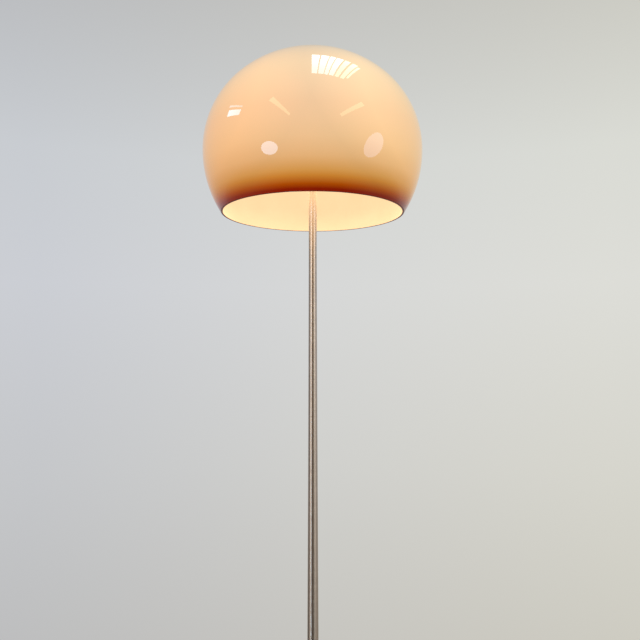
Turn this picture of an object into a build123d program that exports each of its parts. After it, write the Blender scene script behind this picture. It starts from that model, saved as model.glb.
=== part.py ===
"""Mushroom floor lamp: a glossy two-layer acrylic dome on a slim tapered steel stem with a weighted
trumpet foot. Two opal screw bulbs stand in a V on a small hub inside the dome, and a rod from the hub
carries the dome at its crown, under a turned knob.

Frame: millimetres, +Z up, origin on the floor under the stem. The front is -Y: the foot switch is
there, and the cord inlet is at the back, +Y. The bulbs point left and right, -X and +X.
"""

import os
from math import asin, atan2, degrees, hypot, sqrt

from build123d import *

# Clearances
PRESS_GAP = 0.02  # round a pressed-in piece
THREAD_GAP = 0.1  # round a threaded piece
SLIDE_GAP = 0.3  # between pieces that move against each other
SEAT_GAP = 0.3  # between loose pieces that lie on or in each other

# Dome: a ball below its widest line, and a flatter oval of two arcs above it
RIM_HEIGHT = 1200.0  # floor to the open rim
DOME_RADIUS = 200.0
DOME_CROWN = 183.0  # widest line up to the top
DOME_SKIRT = 111.0  # widest line down to the rim
DOME_SHOULDER_DROP = 11.0  # how much smaller than the crown's rise the shoulder's arc is
DOME_WALL = 3.0
DOME_RIM_BEVEL = 1.0

# Stem: one drawn steel tube, thicker towards the floor
STEM_HEAD_RADIUS = 7.0
STEM_FOOT_RADIUS = 10.6
STEM_BOW = 0.35  # how far the tube's side lies inside a straight taper, halfway up
STEM_WALL = 1.0
STEM_HEAD_ABOVE_RIM = 52.0
BUSH_LENGTH = 22.0  # threaded bushes in the two ends of the stem
SPIGOT_LENGTH = 8.0  # lower bush, inside the foot's neck

# Threaded tube (M10 x 1) that ties the foot together and joins the stem to the hub
PIPE_RADIUS = 5.0
PIPE_BORE = 3.3
THREAD_REACH = 18.0  # of the threaded tubes into the stem's ends
NUT_ACROSS_FLATS = 17.0
NUT_HEIGHT = 8.0
THIN_NUT_HEIGHT = 4.5
WASHER_RADIUS = 14.0
WASHER_THICK = 1.6

# Foot: a spun steel cover over a cast iron weight, a steel plate and a felt pad
FOOT_RADIUS = 140.0
FOOT_TOP = 26.0  # floor to the flat of the foot
FOOT_EDGE_ROUND = 7.0
FOOT_SHEET = 1.5
FLARE_RADIUS = 62.0  # where the trumpet starts to rise from the flat
FLARE_ROUND = 30.0  # radius of the arc that it rises on
NECK_HEIGHT = 300.0  # floor to the end of the trumpet, where the stem starts
FELT_THICK = 2.5
FELT_INSET = 5.0
PLATE_THICK = 2.0
WEIGHT_INSET = 13.0  # from the foot's edge to the weight
WEIGHT_BOSS_TOP = 50.0
WEIGHT_BORE_GAP = 0.4
CLAMP_WELL_RADIUS = 24.0
CLAMP_WELL_TOP = 30.0
SCREW_INSET = 36.0  # from the foot's edge to the screws
SCREW_ANGLES = (0.0, 120.0, 240.0)
SCREW_RADIUS = 2.0
SCREW_HEAD_RADIUS = 4.0
SCREW_LENGTH = 12.0

# Wiring
LEAD_RADIUS = 2.5
LEAD_BEND = 10.0
SWITCH_LEAD_RADIUS = 1.8
SWITCH_LEAD_OFFSET = 8.0
HOLDER_LEAD_RADIUS = 1.6
TERMINAL_SIZE = (24.0, 18.0, 12.0)
TERMINAL_INSET = 82.0  # from the foot's edge to the far end of the terminal block
POCKET_GAP = 2.0  # room round the terminal block and the leads in the weight

# Cord inlet: a flanged gland in the foot's back, held by a ring nut inside
GLAND_HEIGHT = 11.5
GLAND_BORE = 3.6
GLAND_RADIUS = 5.5
GLAND_FLANGE_RADIUS = 7.2
GLAND_FLANGE_THICK = 3.0
GLAND_BEVEL = 1.0
GLAND_LENGTH_INSIDE = 7.0
GLAND_NUT_THICK = 3.0
GLAND_NUT_RADIUS = 6.8

# Foot switch
SWITCH_INSET = 42.0  # from the foot's edge to the button's centre
SWITCH_RADIUS = 15.5
SWITCH_FLOOR = 2.5
SWITCH_LIFT = 1.5  # housing above the foot's plate
SWITCH_POCKET_GAP = 1.0
BEZEL_RADIUS = 17.0
BEZEL_THICK = 2.5
BEZEL_BARREL_RADIUS = 12.4
BEZEL_BARREL_DEPTH = 9.0
BUTTON_RADIUS = 10.0
BUTTON_FLANGE = 1.2
BUTTON_FLANGE_THICK = 3.0
BUTTON_STAND = 7.5  # above the bezel
BUTTON_WALL = 2.0
BUTTON_TOP_WALL = 4.0
BUTTON_ROUND = 2.5
SPRING_WIRE = 1.2
SPRING_RADIUS = 6.0
SPRING_TURNS = 3.5

# Hub inside the dome
COLLAR_RADIUS = 10.0
COLLAR_THICK = 4.0
HUB_RADIUS = 22.0
HUB_HEIGHT = 38.0
HUB_WALL = 2.0
HUB_FLOOR = 3.0
LID_THICK = 3.0
LID_SPIGOT = 4.0
LID_BEVEL = 1.0
SPLICE_SIZE = (16.0, 12.0, 10.0)
NIPPLE_REACH = 0.5  # above the nut in the hub

# Lamp holders (E27) on two arms
ARM_ANGLE = 35.0  # above the horizontal
ARM_START_HEIGHT = 14.0  # above the underside of the hub, on its axis
HOLDER_START = 36.0  # along the arm from the hub's axis
ARM_THREAD = 7.0  # arm inside the holder's cap
CAP_BACK_RADIUS = 9.0
CAP_RADIUS = 19.0
CAP_CONE = 12.0
CAP_LENGTH = 22.0
CAP_BORE = 16.9
CAP_THREAD = 8.0
CAP_FLOOR_GAP = 1.0  # from the arm's end to where the cap widens
SKIRT_RADIUS = 20.0
SKIRT_LENGTH = 30.0
SKIRT_LIP_RADIUS = 15.6
SKIRT_LIP = 2.0
THREAD_WALL = 1.0  # wall of the cap's threaded mouth, inside the skirt
INSERT_FLOOR = 4.0
INSERT_START = 13.0  # from the cap's back to the ceramic insert
INSERT_HEIGHT = 13.0
SHELL_BORE = 13.8
SHELL_WALL = 0.5
SHELL_LENGTH = 29.0
CONTACT_LEAF = 0.5
CONTACT_RISE = 5.0
CONTACT_WIDTH = 6.0
CONTACT_REACH = 9.0

# Bulbs (A60, E27)
BULB_RADIUS = 30.0
BULB_LENGTH = 105.0
BULB_NECK_RADIUS = 14.3
BULB_NECK_END = 31.0  # from the tip contact
BULB_GLASS_WALL = 1.0
BULB_CAP_RADIUS = 13.2
BULB_CAP_START = 4.5
BULB_CAP_END = 25.0
BULB_CAP_WALL = 0.5
BULB_TIP_RADIUS = 4.6
BULB_TIP_THICK = 1.0
BULB_INSULATOR_RADIUS = 11.5
BULB_GLASS_INSIDE_CAP = 12.0

# Dome carrier: rod, nuts, disc and gasket under the crown, washer and knob on top
ROD_RADIUS = 4.0
ROD_NUT_ACROSS_FLATS = 13.0
DOME_HOLE_GAP = 0.8
CARRIER_RADIUS = 32.0
CARRIER_THICK = 1.6
CARRIER_RIM = 4.0
GASKET_RADIUS = 20.0
TOP_WASHER_RADIUS = 11.0
TOP_WASHER_THICK = 1.5
KNOB_HEIGHT = 16.0
KNOB_BASE_RADIUS = 8.0
KNOB_WAIST_RADIUS = 5.6
KNOB_BALL_RADIUS = 7.0
KNOB_BORE_DEPTH = 10.0
ROD_END_GAP = 1.0  # from the rod's end to the end of the knob's bore

# Places in the foot that follow from its radius
WEIGHT_RADIUS = FOOT_RADIUS - WEIGHT_INSET
SCREW_CIRCLE = FOOT_RADIUS - SCREW_INSET
TERMINAL_START = FOOT_RADIUS - TERMINAL_INSET - TERMINAL_SIZE[1]
SWITCH_OFFSET = FOOT_RADIUS - SWITCH_INSET

# Levels that follow from the sizes above
WIDEST_LEVEL = RIM_HEIGHT + DOME_SKIRT
CROWN_LEVEL = WIDEST_LEVEL + DOME_CROWN
STEM_TOP = RIM_HEIGHT + STEM_HEAD_ABOVE_RIM
PLATE_LEVEL = FELT_THICK
WEIGHT_LEVEL = PLATE_LEVEL + PLATE_THICK
HUB_LEVEL = STEM_TOP + COLLAR_THICK
HUB_TOP = HUB_LEVEL + HUB_HEIGHT
ARM_LEVEL = HUB_LEVEL + ARM_START_HEIGHT
LEAD_LEVEL = WEIGHT_LEVEL + LEAD_RADIUS + SEAT_GAP
SWITCH_LEVEL = WEIGHT_LEVEL + SWITCH_LIFT
SPRING_SEAT = SWITCH_LEVEL + SWITCH_FLOOR
BARREL_END = FOOT_TOP - BEZEL_BARREL_DEPTH
BUTTON_FLANGE_TOP = BARREL_END - SLIDE_GAP
BEZEL_TOP = FOOT_TOP + BEZEL_THICK
TOP_WASHER_TOP = CROWN_LEVEL + TOP_WASHER_THICK
SIDES = {"left": -1, "right": 1}


def turned(outline):
    """A solid of revolution about Z from a closed outline of (radius, height) points."""
    return revolve(Plane.XZ * make_face(Polyline(*outline, close=True)), Axis.Z)


def tube(outer, inner, low, high):
    """A round tube on the Z axis; inner 0 makes it a disc or rod."""
    return turned([(inner, low), (outer, low), (outer, high), (inner, high)])


def hex_nut(across_flats, height, bore, low):
    """A hexagon nut on the Z axis."""
    body = extrude(Pos(0, 0, low) * RegularPolygon(across_flats / 2, 6, major_radius=False), height)
    return body - tube(bore + THREAD_GAP, 0, low, low + height)


def block(size, centre):
    """A box by its size and centre."""
    return Pos(*centre) * Box(*size)


def rod_along_y(radius, start, end, x, z):
    """A straight round rod or hole along Y."""
    return Pos(x, (start + end) / 2, z) * Rot(90, 0, 0) * Cylinder(radius, abs(end - start))


# ---------------------------------------------------------------- dome and what carries it


# The shoulder's arc has its centre off the axis, on the widest line. The crown's arc has its centre on
# the axis, below that line, where the two arcs are tangent.
SHOULDER_OFFSET = DOME_RADIUS - DOME_CROWN + DOME_SHOULDER_DROP
CROWN_DROP = (SHOULDER_OFFSET**2 - DOME_SHOULDER_DROP**2) / (2 * DOME_SHOULDER_DROP)
CROWN_RADIUS = DOME_CROWN + CROWN_DROP


def dome_fill(inset):
    """The space inside the dome's outer surface moved inwards by inset, down to the rim."""
    skirt = DOME_RADIUS - inset
    opening = degrees(asin(DOME_SKIRT / skirt))
    joint = degrees(atan2(CROWN_DROP, SHOULDER_OFFSET))
    crown_centre = (0, WIDEST_LEVEL - CROWN_DROP)
    side = [
        CenterArc((0, WIDEST_LEVEL), skirt, -opening, opening),
        CenterArc((SHOULDER_OFFSET, WIDEST_LEVEL), skirt - SHOULDER_OFFSET, 0, joint),
        CenterArc(crown_centre, CROWN_RADIUS - inset, joint, 90 - joint),
    ]
    rest = Polyline(side[-1] @ 1, (0, RIM_HEIGHT), side[0] @ 0)
    return revolve(Plane.XZ * make_face([*side, rest]), Axis.Z)


def crown_inside(radius):
    """Height of the crown's inner surface at a distance from the axis."""
    return WIDEST_LEVEL - CROWN_DROP + sqrt((CROWN_RADIUS - DOME_WALL) ** 2 - radius**2)


CARRIER_TOP = crown_inside(CARRIER_RADIUS) - SEAT_GAP


def dome():
    """The acrylic dome: open at the rim, with the rod's hole in its crown."""
    shell = dome_fill(0) - dome_fill(DOME_WALL)
    rim_edges = shell.edges().filter_by(GeomType.CIRCLE).group_by(Axis.Z)[0]
    shell = chamfer(rim_edges, min(DOME_RIM_BEVEL, DOME_WALL / 3))
    hole = ROD_RADIUS + DOME_HOLE_GAP
    return shell - tube(hole, 0, WIDEST_LEVEL, CROWN_LEVEL + DOME_WALL)


def support_rod():
    """Threaded rod from under the hub's lid up into the knob."""
    low = HUB_TOP - LID_SPIGOT - THIN_NUT_HEIGHT
    return tube(ROD_RADIUS, 0, low, TOP_WASHER_TOP + KNOB_BORE_DEPTH - ROD_END_GAP)


def rod_nuts():
    """The two thin nuts that clamp the rod in the hub's lid."""
    lows = (HUB_TOP - LID_SPIGOT - THIN_NUT_HEIGHT, HUB_TOP + LID_THICK)
    return Compound([hex_nut(ROD_NUT_ACROSS_FLATS, THIN_NUT_HEIGHT, ROD_RADIUS, low).solid() for low in lows])


def carrier_nut():
    """The nut on the rod that sets the height of the dome."""
    low = CARRIER_TOP - CARRIER_THICK - THIN_NUT_HEIGHT
    return hex_nut(ROD_NUT_ACROSS_FLATS, THIN_NUT_HEIGHT, ROD_RADIUS, low)


def carrier_disc():
    """Pressed steel disc with a turned-down rim that the crown sits on."""
    low = CARRIER_TOP - CARRIER_THICK
    edge = CARRIER_RADIUS - CARRIER_THICK
    return turned(
        [
            (ROD_RADIUS + THREAD_GAP, low),
            (edge, low),
            (edge, CARRIER_TOP - CARRIER_RIM),
            (CARRIER_RADIUS, CARRIER_TOP - CARRIER_RIM),
            (CARRIER_RADIUS, low),
            (edge, CARRIER_TOP),
            (ROD_RADIUS + THREAD_GAP, CARRIER_TOP),
        ]
    )


def carrier_gasket():
    """Rubber gasket between disc and crown, bevelled to the crown's inside."""
    bore = ROD_RADIUS + THREAD_GAP
    return turned(
        [
            (bore, CARRIER_TOP),
            (GASKET_RADIUS, CARRIER_TOP),
            (GASKET_RADIUS, crown_inside(GASKET_RADIUS) - SEAT_GAP),
            (bore, crown_inside(bore) - SEAT_GAP),
        ]
    )


def top_washer():
    """Steel washer on top of the crown."""
    return tube(TOP_WASHER_RADIUS, ROD_RADIUS + DOME_HOLE_GAP, CROWN_LEVEL, TOP_WASHER_TOP)


def knob():
    """Turned knob with a blind thread for the rod: foot, waist and ball."""
    low = TOP_WASHER_TOP + SEAT_GAP
    ball = low + KNOB_HEIGHT - KNOB_BALL_RADIUS
    waist = low + KNOB_HEIGHT - 2 * KNOB_BALL_RADIUS
    drop = sqrt(KNOB_BALL_RADIUS**2 - KNOB_WAIST_RADIUS**2)
    foot = turned(
        [
            (0, low),
            (KNOB_BASE_RADIUS, low),
            (KNOB_BASE_RADIUS, (low + waist) / 2),
            (KNOB_WAIST_RADIUS, waist),
            (KNOB_WAIST_RADIUS, ball - drop),
            (0, ball - drop),
        ]
    )
    body = foot + Pos(0, 0, ball) * Sphere(KNOB_BALL_RADIUS)
    return body - tube(ROD_RADIUS + THREAD_GAP, 0, low, low + KNOB_BORE_DEPTH)


# ---------------------------------------------------------------- stem and foot


def stem_radius(height, inset=0.0):
    """Radius of the stem's outer surface, moved inwards by inset, at a height above the floor."""
    share = (height - NECK_HEIGHT) / (STEM_TOP - NECK_HEIGHT)
    taper = STEM_FOOT_RADIUS + share * (STEM_HEAD_RADIUS - STEM_FOOT_RADIUS)
    return taper - 4 * STEM_BOW * share * (1 - share) - inset


def stem_fill(inset):
    """The space inside the stem's outer surface moved inwards by inset."""
    heights = (NECK_HEIGHT, (NECK_HEIGHT + STEM_TOP) / 2, STEM_TOP)
    side = ThreePointArc(*((stem_radius(height, inset), height) for height in heights))
    rest = Polyline(side @ 1, (0, STEM_TOP), (0, NECK_HEIGHT), side @ 0)
    return revolve(Plane.XZ * make_face([side, rest]), Axis.Z)


def stem():
    """The drawn steel tube between the trumpet foot and the hub."""
    return stem_fill(0) - stem_fill(STEM_WALL)


def foot_bush():
    """Turned bush in the stem's lower end, with a spigot in the foot's neck."""
    bore = PIPE_RADIUS + THREAD_GAP
    spigot = STEM_FOOT_RADIUS - FOOT_SHEET - PRESS_GAP
    top = NECK_HEIGHT + BUSH_LENGTH
    return turned(
        [
            (bore, NECK_HEIGHT - SPIGOT_LENGTH),
            (spigot, NECK_HEIGHT - SPIGOT_LENGTH),
            (spigot, NECK_HEIGHT),
            (stem_radius(NECK_HEIGHT, STEM_WALL + PRESS_GAP), NECK_HEIGHT),
            (stem_radius(top, STEM_WALL + PRESS_GAP), top),
            (bore, top),
        ]
    )


def head_bush():
    """Threaded bush in the stem's upper end."""
    bore = PIPE_RADIUS + THREAD_GAP
    low = STEM_TOP - BUSH_LENGTH
    return turned(
        [
            (bore, low),
            (stem_radius(low, STEM_WALL + PRESS_GAP), low),
            (stem_radius(STEM_TOP, STEM_WALL + PRESS_GAP), STEM_TOP),
            (bore, STEM_TOP),
        ]
    )


def foot_fill(inset):
    """The space inside the foot cover's outer surface moved inwards by inset, felt level to neck."""
    edge = FOOT_RADIUS - inset
    top = FOOT_TOP - inset
    corner = FOOT_EDGE_ROUND - inset
    reach = FLARE_RADIUS - STEM_FOOT_RADIUS
    rise = NECK_HEIGHT - FOOT_TOP
    # the long arc of the neck, tangent to the short arc above the flat and upright at the stem
    neck = (reach**2 + rise**2 - 2 * rise * FLARE_ROUND) / (2 * (reach - FLARE_ROUND))
    joint = degrees(atan2(rise - FLARE_ROUND, neck - reach))
    curves = [
        CenterArc((edge - corner, top - corner), corner, 90, -90),
        CenterArc((FLARE_RADIUS, FOOT_TOP + FLARE_ROUND), FLARE_ROUND + inset, 270, joint - 90),
        CenterArc((STEM_FOOT_RADIUS + neck, NECK_HEIGHT), neck + inset, 180 + joint, -joint),
    ]
    outline = [
        *curves,
        Line(curves[0] @ 0, curves[1] @ 0),
        Polyline(curves[2] @ 1, (0, NECK_HEIGHT), (0, PLATE_LEVEL), (edge, PLATE_LEVEL), curves[0] @ 1),
    ]
    return revolve(Plane.XZ * make_face(outline), Axis.Z)


def foot_cover():
    """Spun steel cover: rounded edge, flat, and trumpet neck, with the switch and inlet holes."""
    shell = foot_fill(0) - foot_fill(FOOT_SHEET)
    shell -= at_switch(tube(BEZEL_BARREL_RADIUS + THREAD_GAP, 0, 0, FOOT_TOP))
    return shell - rod_along_y(GLAND_RADIUS + THREAD_GAP, 0, 2 * FOOT_RADIUS, 0, GLAND_HEIGHT)


def felt_pad():
    """Felt disc glued under the foot; the lamp stands on it."""
    return tube(FOOT_RADIUS - FELT_INSET, 0, 0, FELT_THICK)


def screw_places():
    """The three places round the foot where a screw goes up through the plate."""
    return [Rot(0, 0, angle) * Pos(SCREW_CIRCLE, 0, 0) for angle in SCREW_ANGLES]


def screw():
    """Countersunk screw with its head's underside up, so that it goes up into the weight."""
    return turned(
        [
            (0, PLATE_LEVEL),
            (SCREW_HEAD_RADIUS, PLATE_LEVEL),
            (SCREW_RADIUS, WEIGHT_LEVEL),
            (SCREW_RADIUS, PLATE_LEVEL + SCREW_LENGTH),
            (0, PLATE_LEVEL + SCREW_LENGTH),
        ]
    )


def base_screws():
    """The three screws that hold the plate to the weight."""
    return Compound([(place * screw()).solid() for place in screw_places()])


def base_plate():
    """Steel plate that closes the foot from below."""
    plate = tube(FOOT_RADIUS - FOOT_SHEET - SEAT_GAP, 0, PLATE_LEVEL, WEIGHT_LEVEL)
    for place in screw_places():
        plate -= place * screw()
    return plate


def foot_weight():
    """Cast iron weight with a boss for the clamp, a well and grooves for the leads, and pockets."""
    body = foot_fill(FOOT_SHEET + SEAT_GAP) & tube(WEIGHT_RADIUS, 0, WEIGHT_LEVEL, WEIGHT_BOSS_TOP)
    body -= tube(PIPE_RADIUS + WEIGHT_BORE_GAP, 0, 0, NECK_HEIGHT)
    body -= tube(CLAMP_WELL_RADIUS, 0, 0, CLAMP_WELL_TOP)
    body -= at_switch(tube(SWITCH_RADIUS + SWITCH_POCKET_GAP, 0, 0, FOOT_TOP))
    width, depth, height = TERMINAL_SIZE
    terminal_end = TERMINAL_START + depth + POCKET_GAP
    body -= trench(0, width, TERMINAL_START - POCKET_GAP, terminal_end, WEIGHT_LEVEL + height)
    body -= trench(0, 2 * LEAD_RADIUS, 0, TERMINAL_START, LEAD_LEVEL + LEAD_RADIUS)
    body -= trench(0, 2 * GLAND_BORE, TERMINAL_START, FOOT_RADIUS, GLAND_HEIGHT + GLAND_BORE)
    switch_lead_top = LEAD_LEVEL + SWITCH_LEAD_RADIUS
    body -= trench(
        SWITCH_LEAD_OFFSET, 2 * SWITCH_LEAD_RADIUS, -SWITCH_OFFSET, TERMINAL_START, switch_lead_top
    )
    for place in screw_places():
        body -= place * screw()
    return body


def trench(x, width, start, end, top):
    """A trench in the weight's underside, along Y, with room round what lies in it."""
    wide = width + 2 * POCKET_GAP
    return block((wide, end - start, 2 * (top + POCKET_GAP)), (x, (start + end) / 2, 0))


def tie_tube():
    """Threaded tube from the clamp nut up into the stem's lower bush."""
    return tube(PIPE_RADIUS, PIPE_BORE, LEAD_LEVEL + LEAD_BEND, NECK_HEIGHT + THREAD_REACH)


def tie_washer():
    """Washer under the weight, in its well."""
    return tube(WASHER_RADIUS, PIPE_RADIUS + THREAD_GAP, CLAMP_WELL_TOP - WASHER_THICK, CLAMP_WELL_TOP)


def tie_nut():
    """The nut that pulls the stem, the cover and the weight together."""
    low = CLAMP_WELL_TOP - WASHER_THICK - NUT_HEIGHT
    return hex_nut(NUT_ACROSS_FLATS, NUT_HEIGHT, PIPE_RADIUS, low)


def cord_gland():
    """Flanged gland for the mains cord, through the back of the foot cover."""
    start = FOOT_RADIUS - FOOT_SHEET - GLAND_LENGTH_INSIDE
    end = FOOT_RADIUS + GLAND_FLANGE_THICK
    barrel = rod_along_y(GLAND_RADIUS, start, end, 0, GLAND_HEIGHT)
    flange = rod_along_y(GLAND_FLANGE_RADIUS, FOOT_RADIUS - FOOT_SHEET, end, 0, GLAND_HEIGHT)
    flange = chamfer(flange.edges().filter_by(GeomType.CIRCLE).group_by(Axis.Y)[-1], GLAND_BEVEL)
    return barrel + (flange - foot_fill(0)) - rod_along_y(GLAND_BORE, 0, 2 * FOOT_RADIUS, 0, GLAND_HEIGHT)


def gland_nut():
    """Ring nut on the gland, inside the cover."""
    inner = FOOT_RADIUS - FOOT_SHEET - SEAT_GAP
    ring = rod_along_y(GLAND_NUT_RADIUS, inner - GLAND_NUT_THICK, inner, 0, GLAND_HEIGHT)
    return ring - rod_along_y(GLAND_RADIUS + THREAD_GAP, 0, FOOT_RADIUS, 0, GLAND_HEIGHT)


def terminal_block():
    """Block in the weight's pocket where the mains cord, the switch and the stem lead meet."""
    width, depth, height = TERMINAL_SIZE
    low = WEIGHT_LEVEL + SEAT_GAP
    return block(TERMINAL_SIZE, (0, TERMINAL_START + depth / 2, low + height / 2))


def stem_lead():
    """Flexible lead from the terminal block, round into the tie tube and up to the hub's splice."""
    top = ARM_LEVEL - SPLICE_SIZE[2] / 2
    corners = [(TERMINAL_START, LEAD_LEVEL), (0, LEAD_LEVEL), (0, top)]
    route = Plane.YZ * FilletPolyline(*corners, radius=LEAD_BEND)
    return sweep(Plane(route @ 0, z_dir=route % 0) * Circle(LEAD_RADIUS), route)


def switch_lead():
    """Thin lead between the switch and the terminal block."""
    lead = rod_along_y(SWITCH_LEAD_RADIUS, -SWITCH_OFFSET, TERMINAL_START, SWITCH_LEAD_OFFSET, LEAD_LEVEL)
    return lead - at_switch(tube(SWITCH_RADIUS, 0, 0, FOOT_TOP))


# ---------------------------------------------------------------- foot switch, built on its own axis


def at_switch(shape):
    """Move a piece from the foot's axis to the switch's."""
    return Pos(0, -SWITCH_OFFSET, 0) * shape


def switch_housing():
    """Moulded cup under the foot cover; the bezel's barrel screws into its mouth."""
    top = FOOT_TOP - FOOT_SHEET
    return at_switch(
        turned(
            [
                (0, SWITCH_LEVEL),
                (SWITCH_RADIUS, SWITCH_LEVEL),
                (SWITCH_RADIUS, top),
                (BEZEL_BARREL_RADIUS + THREAD_GAP, top),
                (BEZEL_BARREL_RADIUS + THREAD_GAP, SPRING_SEAT),
                (0, SPRING_SEAT),
            ]
        )
    )


def switch_bezel():
    """Chromed ring with a threaded barrel that clamps the switch in the cover."""
    bore = BUTTON_RADIUS + SLIDE_GAP
    bevel = BEZEL_THICK / 2
    return at_switch(
        turned(
            [
                (bore, BARREL_END),
                (BEZEL_BARREL_RADIUS, BARREL_END),
                (BEZEL_BARREL_RADIUS, FOOT_TOP),
                (BEZEL_RADIUS, FOOT_TOP),
                (BEZEL_RADIUS, BEZEL_TOP - bevel),
                (BEZEL_RADIUS - bevel, BEZEL_TOP),
                (bore, BEZEL_TOP),
            ]
        )
    )


def switch_button():
    """Moulded cap with a retaining flange under the barrel and a hollow for the spring."""
    low = BUTTON_FLANGE_TOP - BUTTON_FLANGE_THICK
    top = BEZEL_TOP + BUTTON_STAND
    hollow = BUTTON_RADIUS - BUTTON_WALL
    body = turned(
        [
            (0, low),
            (BUTTON_RADIUS + BUTTON_FLANGE, low),
            (BUTTON_RADIUS + BUTTON_FLANGE, BUTTON_FLANGE_TOP),
            (BUTTON_RADIUS, BUTTON_FLANGE_TOP),
            (BUTTON_RADIUS, top),
            (0, top),
        ]
    )
    body = fillet(body.edges().filter_by(GeomType.CIRCLE).group_by(Axis.Z)[-1], BUTTON_ROUND)
    return at_switch(body - tube(hollow, 0, low, top - BUTTON_TOP_WALL))


def switch_spring():
    """Return spring between the housing's floor and the inside of the button."""
    low = SPRING_SEAT + SPRING_WIRE / 2 + SEAT_GAP
    high = BEZEL_TOP + BUTTON_STAND - BUTTON_TOP_WALL - SPRING_WIRE / 2 - SEAT_GAP
    coil = Helix((high - low) / SPRING_TURNS, high - low, SPRING_RADIUS)
    section = Plane(coil @ 0, x_dir=(1, 0, 0), z_dir=coil % 0) * Rectangle(SPRING_WIRE, SPRING_WIRE)
    return at_switch(Pos(0, 0, low) * sweep(section, coil, is_frenet=True))


# ---------------------------------------------------------------- hub


def head_collar():
    """Turned ring between the stem and the hub."""
    return tube(COLLAR_RADIUS, PIPE_RADIUS + THREAD_GAP, STEM_TOP, HUB_LEVEL)


def head_nipple():
    """Threaded tube that joins the stem's upper bush to the hub."""
    top = HUB_LEVEL + HUB_FLOOR + THIN_NUT_HEIGHT + NIPPLE_REACH
    return tube(PIPE_RADIUS, PIPE_BORE, STEM_TOP - THREAD_REACH, top)


def hub_nut():
    """The nut that holds the hub on the stem."""
    return hex_nut(NUT_ACROSS_FLATS, THIN_NUT_HEIGHT, PIPE_RADIUS, HUB_LEVEL + HUB_FLOOR)


def arm_place(side):
    """Where a lamp holder's own axis, its +Z, starts and points: up and out from the hub's axis."""
    return Pos(0, 0, ARM_LEVEL) * Rot(0, SIDES[side] * (90 - ARM_ANGLE), 0)


def hub_cup():
    """Turned steel cup with a hole in its floor for the nipple and one in each side for an arm."""
    cup = turned(
        [
            (PIPE_RADIUS + THREAD_GAP, HUB_LEVEL),
            (HUB_RADIUS, HUB_LEVEL),
            (HUB_RADIUS, HUB_TOP),
            (HUB_RADIUS - HUB_WALL, HUB_TOP),
            (HUB_RADIUS - HUB_WALL, HUB_LEVEL + HUB_FLOOR),
            (PIPE_RADIUS + THREAD_GAP, HUB_LEVEL + HUB_FLOOR),
        ]
    )
    for side in SIDES:
        cup -= arm_place(side) * tube(PIPE_BORE, 0, 0, 2 * HUB_RADIUS)
    return cup


def hub_lid():
    """Lid with a spigot in the cup and the rod's hole in its middle."""
    bore = ROD_RADIUS + THREAD_GAP
    spigot = HUB_RADIUS - HUB_WALL - THREAD_GAP
    return turned(
        [
            (bore, HUB_TOP - LID_SPIGOT),
            (spigot, HUB_TOP - LID_SPIGOT),
            (spigot, HUB_TOP),
            (HUB_RADIUS, HUB_TOP),
            (HUB_RADIUS - LID_BEVEL, HUB_TOP + LID_THICK),
            (bore, HUB_TOP + LID_THICK),
        ]
    )


def hub_splice():
    """Insulated block in the hub where the stem lead meets the two holder leads."""
    return block(SPLICE_SIZE, (0, 0, ARM_LEVEL))


def arm(side):
    """Short threaded tube from the hub's side into the holder's cap."""
    body = arm_place(side) * tube(PIPE_RADIUS, PIPE_BORE, 0, HOLDER_START + ARM_THREAD)
    body -= tube(HUB_RADIUS, 0, HUB_LEVEL - HUB_HEIGHT, HUB_TOP + HUB_HEIGHT)
    return body


def holder_lead(side):
    """Lead from the splice to the holder's insert."""
    lead = arm_place(side) * tube(HOLDER_LEAD_RADIUS, 0, 0, HOLDER_START + INSERT_START)
    return lead - hub_splice()


# ---------------------------------------------------------------- lamp holders, built along +Z


def at_holder(side, shape):
    """Move a piece from the Z axis to its lamp holder's axis."""
    return arm_place(side) * Pos(0, 0, HOLDER_START) * shape


def holder_cap(side):
    """Holder's back: a cone on the arm, a barrel, and a threaded mouth inside the skirt."""
    bore = PIPE_RADIUS + THREAD_GAP
    floor = ARM_THREAD + CAP_FLOOR_GAP
    mouth = CAP_LENGTH + CAP_THREAD
    return at_holder(
        side,
        turned(
            [
                (bore, 0),
                (CAP_BACK_RADIUS, 0),
                (CAP_RADIUS, CAP_CONE),
                (CAP_RADIUS, CAP_LENGTH),
                (CAP_BORE + THREAD_WALL, CAP_LENGTH),
                (CAP_BORE + THREAD_WALL, mouth),
                (CAP_BORE, mouth),
                (CAP_BORE, INSERT_START),
                (bore, floor),
            ]
        ),
    )


def holder_skirt(side):
    """Outer shell that screws on the cap and closes in to a lip round the bulb's neck."""
    bore = CAP_BORE + THREAD_WALL
    end = CAP_LENGTH + SKIRT_LENGTH
    return at_holder(
        side,
        turned(
            [
                (bore, CAP_LENGTH),
                (SKIRT_RADIUS, CAP_LENGTH),
                (SKIRT_RADIUS, end - SKIRT_LIP),
                (SKIRT_RADIUS - SKIRT_LIP, end),
                (SKIRT_LIP_RADIUS, end),
                (SKIRT_LIP_RADIUS, end - SKIRT_LIP),
                (bore, end - SKIRT_LIP),
            ]
        ),
    )


def shell_outside():
    """Outer radius of the brass screw shell."""
    return SHELL_BORE + SHELL_WALL


def holder_insert(side):
    """Ceramic cup that carries the screw shell and the centre contact."""
    low = INSERT_START
    floor = INSERT_START + INSERT_FLOOR
    high = INSERT_START + INSERT_HEIGHT
    return at_holder(
        side,
        turned(
            [
                (0, low),
                (CAP_BORE, low),
                (CAP_BORE, high),
                (shell_outside(), high),
                (shell_outside(), floor),
                (0, floor),
            ]
        ),
    )


def screw_shell(side):
    """Brass shell that the bulb's cap screws into."""
    low = INSERT_START + INSERT_FLOOR
    return at_holder(side, tube(shell_outside(), SHELL_BORE, low, low + SHELL_LENGTH))


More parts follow.
